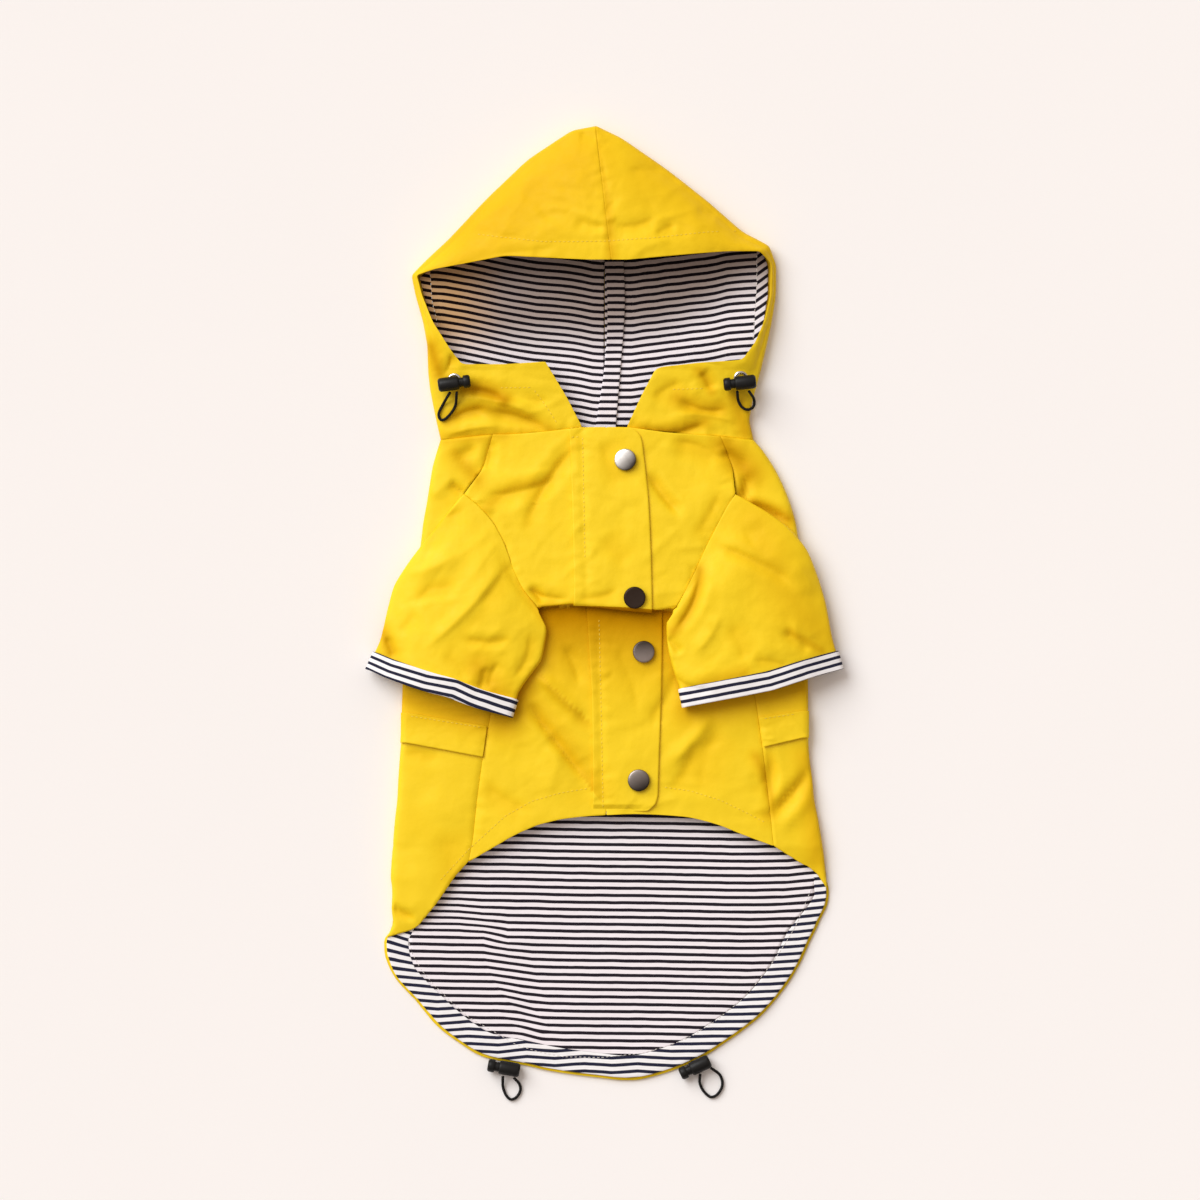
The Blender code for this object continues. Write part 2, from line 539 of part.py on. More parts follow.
def front_grid(side):
    across = np.linspace(0.0, 1.0, FRONT_COLUMNS)
    inner_x = CENTRE_X + side.sign * SEAM / 2
    rows = []
    fold_y = CHEST_FOLD[0][1]
    for number, y in enumerate(UPPER_ROWS):
        x = lerp(upper_edge(side, y), inner_x, across)
        low = smooth((35.0 - y) / (35.0 - fold_y))
        bent = y + neck_shift(x, y) + low * (fold_line(x) - fold_y)
        if number == 0:
            bent = bent - SEAM / 2
        rows.append(np.stack([x, bent, body_top(x, y) + chest_rise(side, x, y)], axis=1))

    x = lerp(side.underarm[0][0] - side.sign * SEAM / 2, inner_x, across)
    rise = chest_rise(side, x, fold_y)
    top = body_top(x, fold_y)
    radius = rise / 4
    start = fold_line(x) + radius
    back = lerp(FOLD_RETURN_SIDE, FOLD_RETURN_MIDDLE, smooth(across * 1.5))
    for angle in np.radians((90.0, 45.0, 0.0, -45.0, -90.0)):
        rows.append(np.stack([x, start - radius * math.cos(angle), top + rise - radius
                              + radius * math.sin(angle)], axis=1))
    for angle in np.radians((90.0, 45.0, 0.0, -45.0, -90.0)):
        rows.append(np.stack([x, start + back + radius * math.cos(angle), top + radius
                              + radius * math.sin(angle)], axis=1))
    top_y = start + back
    last = side.lower_rows[-1]
    for y in side.lower_rows:
        share = (fold_y - y) / (fold_y - last)
        x = lerp(lower_edge(side, y), inner_x, across)
        level = lerp(lerp(fold_y, top_y, 1.0 - smooth(share * 6.0)), along_x(FRONT_HEM, x), share)
        edge_blend = 1.0 - smooth(across * 6.0)
        bent = lerp(level, y, edge_blend)
        rows.append(np.stack([x, bent, body_top(x, bent)], axis=1))
    return np.array(rows)


def front_height(x, y):
    """Top face of the front under the upper placket, or under the lower one."""
    side = LEFT if x < CENTRE_X else RIGHT
    return body_top(x, y) + chest_rise(side, x, y) + SHELL / 2


def build_fronts(shell, parent):
    for name, side in (("front_left", LEFT), ("front_right", RIGHT)):
        cloth_wall(name, front_grid(side), SHELL, shell, parent)


def strip_at(table, y):
    left = look_up([(row.y, row.left) for row in table], y)
    right = look_up([(row.y, row.right) for row in table], y)
    return left, right


def build_plackets(shell, parent):
    columns = np.linspace(0.0, 1.0, 6)
    above = LAY + TRIM / 2
    rows = []
    for y in (98.0, 95.0, 92.0, 81.5, 65.5, 48.5, 35.0, 20.5, 8.0):
        left, right = strip_at(PLACKET_UPPER, y)
        x = lerp(left, right, columns)
        low = smooth((35.0 - y) / 37.5)
        bent = y + neck_shift(x, y) + low * (fold_line(x) + 2.5)
        height = np.array([front_height(a, y) for a in x])
        rows.append(np.stack([x, bent, height + above], axis=1))
    left, right = strip_at(PLACKET_UPPER, 0.0)
    x = lerp(left, right, columns)
    fold_y = CHEST_FOLD[0][1]
    rise = np.array([chest_rise(LEFT if a < CENTRE_X else RIGHT, a, fold_y) for a in x])
    radius = rise / 4
    reach = radius + SHELL / 2 + above
    middle_y = fold_line(x) + radius
    middle_z = body_top(x, fold_y) + rise - radius
    for angle in np.radians((90.0, 62.0, 34.0, 6.0)):
        rows.append(np.stack([x, middle_y - reach * math.cos(angle), middle_z + reach * math.sin(angle)], axis=1))
    cloth_wall("placket_upper", rows, TRIM, shell, parent)
    faces = {"upper": surface_of(rows)}

    rows = []
    for y in (2.0, -5.0, -14.5, -29.0, -42.0, -55.0, -75.0, -97.0, -110.0, -115.5, -120.5, -124.5):
        left, right = strip_at(PLACKET_LOWER, y)
        x = lerp(left, right, columns)
        rows.append(np.stack([x, np.full(6, y), body_top(x, y) + SHELL / 2 + above], axis=1))
    cloth_wall("placket_lower", rows, TRIM, shell, parent)
    faces["lower"] = surface_of(rows)
    return faces


# ---------------------------------------------------------------- sleeves and cuffs

SLEEVE_COLUMNS = 10
SLEEVE_ROWS = (0.0, 0.07, 0.16, 0.28, 0.42, 0.56, 0.68, 0.77, 0.84, 0.9, SLEEVE_END)
CUFF_ROWS = (0.0, 0.5, 1.0)


def line_length(points):
    return np.linalg.norm(np.diff(np.array(points, float), axis=0), axis=1).sum()


def cuff_along(side, row):
    """Where a row of the cuff lies along the sleeve, outer to inner edge, so that its width is even."""
    lengths = np.linspace(line_length(side.outer), line_length(side.inner), SLEEVE_COLUMNS)
    return 1.0 - (1.0 - row) * CUFF_WIDTH / lengths


def sleeve_ring(side, along, spread=0.0):
    """One closed girth of a sleeve: its upper layer, inner fold, lower layer and outer fold.

    along runs from 0 at the armhole to 1 at the cuff's edge, one value for each column.
    """
    armhole = np.array(side.armhole, float)
    shares = np.linspace(0.0, 1.0, SLEEVE_COLUMNS)
    upper_root = on_line(armhole, shares)
    ahead = np.gradient(upper_root, axis=0)
    outward = np.stack([ahead[:, 1], -ahead[:, 0]], axis=1) * -side.sign
    outward /= np.linalg.norm(outward, axis=1, keepdims=True)
    upper_root = upper_root + outward * SEAM
    wrap = [(look_up(side.wrap, y), y) for y in (-38.5, -25.0, -4.5, 20.5, 48.5, 65.5)]
    lower_line = np.array(list(side.underarm[:-1]) + wrap)[::-1]
    lower_root = on_line(lower_line, shares)
    cuff = on_line(side.cuff, shares)
    outer = on_line(side.outer, along)
    inner = on_line(side.inner, along)

    def patch(root):
        corner = lerp(root[0], cuff[0], along[:, None])
        other = lerp(root[-1], cuff[-1], along[:, None])
        straight = lerp(root, cuff, along[:, None])
        bend = (1.0 - shares)[:, None] * (outer - corner) + shares[:, None] * (inner - other)
        return straight + bend

    upper = patch(upper_root)
    lower = patch(lower_root)
    opened = smooth(along / 0.3)
    cuff_lift = CUFF_LIFT * smooth((along - 0.6) / 0.16)
    low_z = sleeve_base(lower[:, 0], lower[:, 1]) + SLEEVE_LAY + cuff_lift
    under_z = sleeve_base(upper[:, 0], upper[:, 1]) + SLEEVE_LAY + cuff_lift
    root_z = sleeve_base(upper_root[:, 0], upper_root[:, 1]) + look_up(CHEST_SIDE, upper_root[:, 1])
    arch = np.sin(math.pi * shares) ** 0.8
    free_z = under_z + 2 * SLEEVE_ROLL + SLEEVE_CROWN * arch * (1.0 - 0.45 * smooth((along - 0.5) / 0.5))
    upper_z = lerp(root_z, free_z, opened)

    across = upper[-1] - upper[0]
    across = across / np.linalg.norm(across)
    points = []
    tuck = lerp(0.9, SLEEVE_ROLL, opened[0])
    width = np.linalg.norm(upper[-1] - upper[0])
    inset_shares = np.clip(shares, tuck / width, 1.0 - tuck / width)

    def at(line, heights, share):
        return np.array([np.interp(share, shares, line[:, 0]), np.interp(share, shares, line[:, 1]),
                         np.interp(share, shares, heights)])

    for share in inset_shares:
        points.append(at(upper, upper_z, share) + (0.0, 0.0, spread))
    for end, sign in ((inset_shares[-1], 1.0), (inset_shares[0], -1.0)):
        high = at(upper, upper_z, end)
        low = at(lower, low_z, end)
        middle = (high + low) / 2
        tall = (high[2] - low[2]) / 2 + spread
        first, last = (1.0, -1.0) if sign > 0 else (-1.0, 1.0)
        for angle in np.radians((45.0, 0.0, -45.0)) * first:
            ease = (1.0 + math.sin(angle)) / 2
            plan = lerp(low[:2], high[:2], ease) + across * sign * (tuck + spread) * math.cos(angle)
            points.append(np.array([plan[0], plan[1], middle[2] + tall * math.sin(angle)]))
        if sign > 0:
            for share in inset_shares[::-1]:
                points.append(at(lower, low_z, share) - (0.0, 0.0, spread))
    return np.array(points)


def tube_wall(name, rings, thickness, material, parent):
    """A wall round closed rings: outer and inner skins, joined at both ends."""
    rings = np.array(rings, float)
    count, around, _ = rings.shape
    wrapped = np.concatenate([rings, rings[:, :1]], axis=1)
    present = np.ones((count - 1, around), bool)
    normals = grid_normals(wrapped, present)
    joined = normals[:, 0] + normals[:, -1]
    normals[:, 0] = joined / np.linalg.norm(joined, axis=1, keepdims=True)
    normals = normals[:, :-1]
    centre = rings.mean(axis=1, keepdims=True)
    if ((rings - centre) * normals).sum() < 0:
        normals = -normals
    mesh = bpy.data.meshes.new(name)
    shape = bmesh.new()
    skins = []
    for side in (0.5, -0.5):
        points = (rings + normals * thickness * side) * MM
        skins.append([[shape.verts.new(point) for point in ring] for ring in points])
    outside, inside = skins
    for i in range(count - 1):
        for j in range(around):
            k = (j + 1) % around
            shape.faces.new([outside[i][j], outside[i][k], outside[i + 1][k], outside[i + 1][j]])
            shape.faces.new([inside[i][j], inside[i + 1][j], inside[i + 1][k], inside[i][k]])
    for i, first, second in ((0, inside, outside), (count - 1, outside, inside)):
        for j in range(around):
            k = (j + 1) % around
            shape.faces.new([first[i][j], first[i][k], second[i][k], second[i][j]])
    if shape.calc_volume(signed=True) < 0.0:
        bmesh.ops.reverse_faces(shape, faces=shape.faces[:])
    shape.to_mesh(mesh)
    shape.free()
    mesh.shade_smooth()
    mesh.set_sharp_from_angle(angle=math.radians(50.0))
    return add_object(name, mesh, material, parent)


def build_sleeves(shell, lining, parent):
    for word, side in (("left", LEFT), ("right", RIGHT)):
        rings = [sleeve_ring(side, np.full(SLEEVE_COLUMNS, along)) for along in SLEEVE_ROWS]
        tube_wall("sleeve_" + word, rings, TRIM, shell, parent)
        rings = [sleeve_ring(side, cuff_along(side, row), TRIM + LAY) for row in CUFF_ROWS]
        tube_wall("cuff_" + word, rings, TRIM, lining, parent)


# ---------------------------------------------------------------- pocket flaps

def build_flaps(shell, parent):
    above = SHELL / 2 + LAY + TRIM / 2
    for flap in FLAPS:
        rows = []
        for t in np.linspace(0.0, 1.0, 4):
            inner = lerp(np.array(flap.top_in), np.array(flap.bottom_in), t)
            outer = lerp(np.array(flap.top_out), np.array(flap.bottom_out), t)
            row = []
            for s in np.linspace(0.0, 1.0, 6):
                x, y = lerp(inner, outer, s)
                row.append((x, y, body_top(x, y) + above + 0.5 * t * t))
            sign = -1.0 if flap.side == "left" else 1.0
            table = LEFT_FOLD if flap.side == "left" else RIGHT_FOLD
            centre = look_up(table, outer[1]) - sign * ROLL
            for angle in np.radians((66.0, 48.0, 30.0)):
                reach = ROLL + above
                row.append((centre + sign * reach * math.cos(angle), outer[1],
                            SHELL / 2 + ROLL + reach * math.sin(angle) + 0.5 * t * t * math.sin(angle)))
            rows.append(row)
        cloth_wall("pocket_flap_" + flap.side, rows, TRIM, shell, parent)


# ---------------------------------------------------------------- hood

HOOD_FLOOR_COLUMNS = 3
HOOD_TOP_COLUMNS = 6


def hood_ribs(ribs):
    """The ribs with smooth rows read between them."""
    table = np.array(ribs, float)
    places = np.arange(len(table), dtype=float)
    wanted = np.linspace(0.0, len(table) - 1, (len(table) - 1) * HOOD_STEPS + 1)
    return np.stack([np.interp(wanted, places, table[:, k]) for k in range(table.shape[1])], axis=1)


def seam_x(y):
    return SEAM_TOP_X * smooth((y - SEAM_LEAN_FROM) / (286.0 - SEAM_LEAN_FROM)) ** 0.8


def fold_outward(table, sign):
    """Level direction out of the hood's fold line at each rib."""
    line = table[:, :2]
    ahead = np.gradient(line, axis=0)
    out = np.stack([-ahead[:, 1], ahead[:, 0]], axis=1) * -sign
    out /= np.linalg.norm(out, axis=1, keepdims=True)
    out[0] = (sign, 0.0)
    out[-1] = (0.0, 1.0)
    return out


def hood_grid(ribs, sign):
    table = hood_ribs(ribs)
    out = fold_outward(table, sign)
    rows = []
    last = len(table) - 1
    for number, (rib, outward) in enumerate(zip(table, out)):
        fold = rib[:2]
        rim = rib[2:4]
        share = number / last
        width = np.linalg.norm(rim - fold)
        roll = min(ROLL, 0.42 * width)
        centre = fold - outward * roll
        gap = sign * SEAM / 2
        back = np.array([seam_x(rib[4]) + gap, rib[4]])
        if number == last:
            centre = centre + (gap, 0.0)
            rim = rim + (gap, 0.0)
        floor = [np.array([*lerp(back, centre, t), SHELL / 2]) for t in np.linspace(0.0, 1.0, HOOD_FLOOR_COLUMNS)]
        turn = []
        for angle in np.linspace(-math.pi / 2, math.pi / 2, ROLL_STEPS + 1)[1:]:
            plan = centre + outward * roll * math.cos(angle)
            turn.append(np.array([*plan, SHELL / 2 + roll + roll * math.sin(angle)]))
        top = []
        for t in np.linspace(0.0, 1.0, HOOD_TOP_COLUMNS + 1)[1:]:
            plan = lerp(centre, rim, t)
            own = SHELL / 2 + 2 * roll + rib[5] * math.sin(math.pi / 2 * t ** 0.9)
            joined = body_top(plan[0], NECK_Y) + 0.3 * smooth((abs(plan[0]) - 70.0) / -60.0)
            top.append(np.array([*plan, lerp(joined, own, smooth(share * 9.0))]))
        if number == 0:
            for point in top:
                point[1] = along_x(NECKLINE, point[0])
            for point in floor + turn + top:
                point[1] += SEAM / 2
        rows.append(floor + turn + top)
    return np.array(rows)


def hood_lining_grid(ribs, sign):
    """Lining on the hood's floor, moved in from its shell."""
    table = hood_ribs(ribs)
    out = fold_outward(table, sign)
    level = SHELL + LAY + TRIM / 2
    rows = []
    for rib, outward in zip(table[:-4], out[:-4]):
        edge = rib[:2] - outward * (ROLL + 1.2)
        back = np.array([seam_x(rib[4]) + sign * SEAM / 2, rib[4]])
        rows.append([np.array([*lerp(back, edge, t), level]) for t in np.linspace(0.0, 1.0, 3)])
    below = np.array(rows[0])
    below[:, 1] -= 14.0
    return np.array([below] + [np.array(row) for row in rows])


def build_hood(shell, lining, parent):
    surfaces = {}
    for word, ribs, sign in (("left", RIBS_LEFT, -1.0), ("right", RIBS_RIGHT, 1.0)):
        grid = hood_grid(ribs, sign)
        surfaces[word] = surface_of(grid)
        cloth_wall("hood_" + word, grid, SHELL, shell, parent, last_row_across=(1.0, 0.0, 0.0))
        cloth_wall("hood_lining_" + word, hood_lining_grid(ribs, sign), TRIM, lining, parent)
    level = SHELL + LAY + TRIM + LAY + TRIM / 2
    rows = []
    for y in np.linspace(SEAM_BAND[0].y, SEAM_BAND[-1].y, 16):
        left, right = strip_at(SEAM_BAND, y)
        rows.append([(x, y, level) for x in np.linspace(left, right, 3)])
    cloth_wall("hood_seam_band", rows, TRIM, lining, parent)
    return surfaces


# ---------------------------------------------------------------- hard pieces

def turned(name, profile, material, parent, segments=20):
    """A solid of revolution about its own X axis, from a closed (x, radius) profile."""
    mesh = bpy.data.meshes.new(name)
    shape = bmesh.new()
    verts = [shape.verts.new((x * MM, 0.0, radius * MM)) for x, radius in profile]
    edges = [shape.edges.new(pair) for pair in zip(verts[:-1], verts[1:])]
    bmesh.ops.spin(shape, geom=verts + edges, cent=(0, 0, 0), axis=(1, 0, 0), angle=math.tau,
                   steps=segments, use_merge=True)
    bmesh.ops.remove_doubles(shape, verts=shape.verts, dist=1e-6)
    bmesh.ops.recalc_face_normals(shape, faces=shape.faces)
    if shape.calc_volume(signed=True) < 0.0:
        bmesh.ops.reverse_faces(shape, faces=shape.faces[:])
    shape.to_mesh(mesh)
    shape.free()
    mesh.shade_smooth()
    mesh.set_sharp_from_angle(angle=math.radians(35.0))
    return add_object(name, mesh, material, parent)


def build_snaps(placket, metal, parent):
    profile = [(0.0, 0.0), (0.0, SNAP_RADIUS - 0.5), (0.4, SNAP_RADIUS)]
    for angle in np.radians((18.0, 45.0, 72.0)):
        profile.append((0.7 + (SNAP_RISE - 0.7) * math.sin(angle), SNAP_RADIUS * math.cos(angle) ** 0.7))
    profile.append((SNAP_RISE, 0.0))
    for number, snap in enumerate(SNAPS, 1):
        height, normal = height_on(placket[snap.strip], snap.x, snap.y)
        thing = turned("snap_%d" % number, profile, metal, parent, 18)
        thing.rotation_mode = "QUATERNION"
        thing.rotation_quaternion = Vector((1.0, 0.0, 0.0)).rotation_difference(normal)
        base = Vector((snap.x, snap.y, height)) + normal * (TRIM / 2 + LAY)
        thing.location = base * MM


def lock_height(lock, hood):
    """Height of a cord lock's axis above the floor."""
    if lock.name.startswith("tail"):
        return BARREL_RADIUS + 0.05
    tree = hood["left" if lock.x < 0 else "right"]
    along = (math.cos(math.radians(lock.toward)), math.sin(math.radians(lock.toward)))
    reach = (-BARREL_LENGTH / 2, 0.0, BARREL_LENGTH / 2, BARREL_LENGTH)
    under = max(height_on(tree, lock.x + along[0] * step, lock.y + along[1] * step)[0] for step in reach)
    return under + SHELL / 2 + LAY + EYELET_HEIGHT + LAY + BARREL_RADIUS


def build_locks(hood, plastic, elastic, parent):
    half = BARREL_LENGTH / 2
    barrel = [(-half, 0.0), (-half, BARREL_RADIUS - 1.6), (-half + 0.5, BARREL_RADIUS - 0.5),
              (-half + 1.6, BARREL_RADIUS), (half - 0.8, BARREL_RADIUS), (half, BARREL_RADIUS - 0.6),
              (half, BORE_RADIUS), (half - BORE_DEPTH, BORE_RADIUS), (half - BORE_DEPTH, 0.0)]
    head = half + NECK_GAP
    stem_end = half - BORE_DEPTH + NECK_GAP + 0.4
    plunger = [(stem_end, 0.0), (stem_end, STEM_RADIUS), (head, STEM_RADIUS), (head, HEAD_RADIUS - 0.4),
               (head + 0.4, HEAD_RADIUS), (head + HEAD_LENGTH - 1.0, HEAD_RADIUS),
               (head + HEAD_LENGTH, HEAD_RADIUS - 1.2), (head + HEAD_LENGTH, 0.0)]
    for lock in LOCKS:
        height = lock_height(lock, hood)
        for part, profile in (("barrel", barrel), ("plunger", plunger)):
            thing = turned("lock_%s_%s" % (part, lock.name), profile, plastic, parent, 14)
            thing.location = (lock.x * MM, lock.y * MM, height * MM)
            thing.rotation_euler = (0.0, 0.0, math.radians(lock.toward))
        build_loop(lock, height, hood, elastic, parent)


def build_loop(lock, height, hood, elastic, parent):
    """The loop of elastic that leaves the barrel and comes back to it."""
    plan = curve_through(lock.loop, CORD_POINTS)
    share = np.linspace(0.0, 1.0, len(plan))
    if lock.name.startswith("tail"):
        rest = np.full(len(plan), CORD_RADIUS + 0.1)
    else:
        tree = hood["left" if lock.x < 0 else "right"]
        near = 2 * CORD_RADIUS
        around = ((0.0, 0.0), (near, 0.0), (-near, 0.0), (0.0, near), (0.0, -near))
        rest = np.array([max(height_on(tree, x + a, y + b)[0] for a, b in around) for x, y in plan])
        rest = rest + SHELL / 2 + LAY + CORD_RADIUS
    leave = 1.0 - smooth(np.minimum(share, 1.0 - share) / 0.22)
    z = lerp(rest, height - 0.4, leave)
    curve = bpy.data.curves.new("cord_" + lock.name, "CURVE")
    curve.dimensions = "3D"
    curve.bevel_depth = CORD_RADIUS * MM
    curve.bevel_resolution = 2
    curve.use_fill_caps = True
    spline = curve.splines.new("POLY")
    spline.points.add(len(plan) - 1)
    for point, (x, y), level in zip(spline.points, plan, z):
        point.co = (x * MM, y * MM, level * MM, 1.0)
    curve.materials.append(elastic)
    thing = bpy.data.objects.new("cord_" + lock.name, curve)
    bpy.context.scene.collection.objects.link(thing)
    thing.parent = parent


def build_eyelets(hood, metal, parent):
    profile = [(0.0, EYELET_INNER), (0.0, EYELET_OUTER), (0.35, EYELET_OUTER), (EYELET_HEIGHT, EYELET_OUTER - 0.8),
               (EYELET_HEIGHT, EYELET_INNER + 0.5), (0.4, EYELET_INNER), (0.0, EYELET_INNER)]
    for name, x, y in EYELETS:
        height, normal = height_on(hood["left" if x < 0 else "right"], x, y)
        thing = turned(name, profile, metal, parent, 18)
        thing.rotation_mode = "QUATERNION"
        thing.rotation_quaternion = Vector((1.0, 0.0, 0.0)).rotation_difference(normal)
        thing.location = (Vector((x, y, height)) + normal * (SHELL / 2 + LAY)) * MM


# ---------------------------------------------------------------- the coat

def main():
    for thing in list(bpy.data.objects):
        bpy.data.objects.remove(thing, do_unlink=True)
    shell = fabric("yellow_shell", (0.91, 0.61, 0.02), 0.5)
    lining = fabric("striped_lining", (0.62, 0.58, 0.62), 0.8)
    gunmetal = fabric("gunmetal", (0.20, 0.19, 0.18), 0.35, 1.0)
    silver = fabric("silver", (0.70, 0.69, 0.67), 0.3, 1.0)
    plastic = fabric("black_plastic", (0.02, 0.02, 0.022), 0.45)
    elastic = fabric("black_elastic", (0.025, 0.024, 0.024), 0.8)
    coat = bpy.data.objects.new("coat", None)
    bpy.context.scene.collection.objects.link(coat)
    build_back(shell, coat)
    build_tail_lining(lining, coat)
    build_fronts(shell, coat)
    placket = build_plackets(shell, coat)
    build_sleeves(shell, lining, coat)
    build_flaps(shell, coat)
    hood = build_hood(shell, lining, coat)
    build_snaps(placket, gunmetal, coat)
    build_eyelets(hood, silver, coat)
    build_locks(hood, plastic, elastic, coat)


main()
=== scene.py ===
# %% [markdown]
# # A hooded dog raincoat, laid out on a table
#
# The coat lies on its back: yellow coated cloth outside, striped cotton inside the hood and the tail,
# four metal snaps down the front and four cord locks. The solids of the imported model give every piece
# its place. This lesson turns them into cloth, metal, plastic and elastic, piece by piece.

# %% Load the fixed frame
import math
from collections import namedtuple

import bmesh
import bpy
import numpy as np
from mathutils import Matrix, Vector, noise
from mathutils.bvhtree import BVHTree


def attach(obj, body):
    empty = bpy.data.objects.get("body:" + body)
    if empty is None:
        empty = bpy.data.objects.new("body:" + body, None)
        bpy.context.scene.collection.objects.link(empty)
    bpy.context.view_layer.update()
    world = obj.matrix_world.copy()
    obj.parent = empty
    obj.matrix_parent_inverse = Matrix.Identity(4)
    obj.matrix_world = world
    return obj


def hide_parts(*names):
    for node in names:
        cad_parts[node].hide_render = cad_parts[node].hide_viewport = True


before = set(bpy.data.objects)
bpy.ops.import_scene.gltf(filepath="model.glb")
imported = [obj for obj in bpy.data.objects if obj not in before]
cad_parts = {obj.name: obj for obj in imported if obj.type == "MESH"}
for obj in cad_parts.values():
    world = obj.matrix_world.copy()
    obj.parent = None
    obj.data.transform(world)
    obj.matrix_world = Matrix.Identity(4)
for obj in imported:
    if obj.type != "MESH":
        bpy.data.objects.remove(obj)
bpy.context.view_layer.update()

MM = 0.001
scene = bpy.context.scene
print("solids of the coat:", len(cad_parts))

# %% [markdown]
# ## The camera
#
# A product picture of a flat garment is taken from straight above and from far away, so that nothing
# leans. A long lens five metres up does the same: its rays reach the coat almost parallel.

# %% Camera above the table
CAMERA_PLACE = (-0.0027, 0.0021, 5.008)
LENS = 250.0
SENSOR = 36.0


def add_object(name, data):
    """An object of the scene that shows a mesh, a curve, a lamp or a camera."""
    made = bpy.data.objects.new(name, data)
    scene.collection.objects.link(made)
    return made


camera_data = bpy.data.cameras.new("camera_above")
camera_data.lens = LENS
camera_data.sensor_width = SENSOR
camera = add_object("camera_above", camera_data)
camera.location = CAMERA_PLACE
scene.camera = camera
scene.view_settings.view_transform = "Standard"
print("the camera sees a square of", round(CAMERA_PLACE[2] * SENSOR / LENS, 3), "m")

# %% [markdown]
# ## Helpers for finishes
#
# Every finish below is a small tree of nodes. One helper adds a node and fills its inputs, another starts
# a material, so each finish reads as a short list of what the real surface has.


# %% Node and material helpers
def fill(tree, socket, value):
    """Link an input when it is given a socket, and set it when it is given a number."""
    if isinstance(value, bpy.types.NodeSocket):
        tree.links.new(value, socket)
    else:
        socket.default_value = value


def fill_all(tree, node, **values):
    """Fill inputs by name; an underscore stands for a space."""
    for name, value in values.items():
        fill(tree, node.inputs[name.replace("_", " ")], value)


def add_node(tree, kind, inputs=None, **settings):
    """Add a node with its settings and its inputs."""
    made = tree.nodes.new(kind)
    for name, value in settings.items():
        setattr(made, name, value)
    for name, value in (inputs or {}).items():
        fill(tree, made.inputs[name], value)
    return made


def new_finish(name, **values):
    """A material with its Principled shader set to the values given."""
    material = bpy.data.materials.new(name)
    material.use_nodes = True
    tree = material.node_tree
    shader = tree.nodes["Principled BSDF"]
    fill_all(tree, shader, **values)
    return material, tree, shader


def math_node(tree, operation, first, second=0.5):
    """One sum on one or two numbers."""
    return add_node(tree, "ShaderNodeMath", {0: first, 1: second}, operation=operation).outputs[0]


def map_range(tree, value, source=(0.0, 1.0), target=(0.0, 1.0), **settings):
    """A number carried over from one range to another."""
    ends = {"From Min": source[0], "From Max": source[1], "To Min": target[0], "To Max": target[1]}
    return add_node(tree, "ShaderNodeMapRange", {"Value": value, **ends}, **settings).outputs["Result"]


# %% Helpers for colours, noise and relief
def colour_mix(tree, share, first, second, blend="MIX"):
    """Two colours mixed by a share."""
    inputs = {0: share, 6: first, 7: second}
    return add_node(tree, "ShaderNodeMix", inputs, data_type="RGBA", blend_type=blend).outputs[2]


def tone(colour, factor=1.0):
    """A colour made lighter or darker, with its alpha."""
    return tuple(factor * share for share in colour) + (1.0,)


def noise_value(tree, place, scale, detail=2.0, rough=0.5):
    """A soft random number at each place, with features 1 / scale metres wide."""
    inputs = {"Vector": place, "Scale": scale, "Detail": detail, "Roughness": rough}
    return add_node(tree, "ShaderNodeTexNoise", inputs).outputs["Fac"]


def object_place(tree):
    """Where each point lies on its own object, in metres."""
    return add_node(tree, "ShaderNodeTexCoord").outputs["Object"]


def bump(tree, height, distance, strength=1.0, under=None):
    """Relief that is too fine for the mesh."""
    inputs = {"Height": height, "Distance": distance, "Strength": strength}
    if under is not None:
        inputs["Normal"] = under
    return add_node(tree, "ShaderNodeBump", inputs).outputs["Normal"]


print("helpers for finishes are ready")

# %% [markdown]
# ## Table and light
#
# The table is a plain pale sheet. The light is a big far window to the upper left: it is as bright at one
# end of the coat as at the other, and its wide angle softens the shadows. The room behind it glows on the
# same side and is dim on the other, so each fold has a bright and a shaded side, and metal has something
# to mirror.

# %% Table
TABLE_SIZE = 4.0
TABLE_PLACE = (0.0, 0.0, -0.0004)


def mesh_from(shape, name, *finishes):
    """Write a bmesh out as a mesh with its finishes."""
    mesh = bpy.data.meshes.new(name)
    shape.to_mesh(mesh)
    shape.free()
    for finish in finishes:
        mesh.materials.append(finish)
    return mesh


table_finish, tree, shader = new_finish("pale_table", Roughness=0.9)
grain = noise_value(tree, object_place(tree), 6.0)
fill_all(tree, shader, Base_Color=colour_mix(tree, grain, (0.915, 0.90, 0.895, 1), (0.93, 0.915, 0.91, 1)),
         Normal=bump(tree, noise_value(tree, object_place(tree), 900.0), 0.00004))

top = bmesh.new()
bmesh.ops.create_grid(top, x_segments=4, y_segments=4, size=TABLE_SIZE, matrix=Matrix.Translation(TABLE_PLACE))
table = add_object("table", mesh_from(top, "table", table_finish))
print("table laid")

# %% Lamps and room
window = bpy.data.lights.new("window_light", "SUN")
window.energy = 2.45
window.angle = math.radians(45.0)
window.color = (0.975, 1.0, 1.02)
lamp = add_object("window_light", window)
lamp.rotation_euler = (-Vector((-0.56, 0.56, 0.68))).to_track_quat("-Z", "Y").to_euler()

world = bpy.data.worlds.new("white_room")
world.use_nodes = True
scene.world = world
room = world.node_tree
toward = add_node(room, "ShaderNodeVectorMath", {1: (-0.36, 0.48, 0.80)}, operation="DOT_PRODUCT")
room.links.new(add_node(room, "ShaderNodeTexCoord").outputs["Generated"], toward.inputs[0])
bright = map_range(room, toward.outputs["Value"], (-0.1, 1.0))
fill_all(room, room.nodes["Background"], Strength=0.82,
         Color=colour_mix(room, bright, (0.22, 0.165, 0.13, 1), (1.0, 0.88, 0.80, 1)))
print("lamps:", [light.name for light in bpy.data.lights])

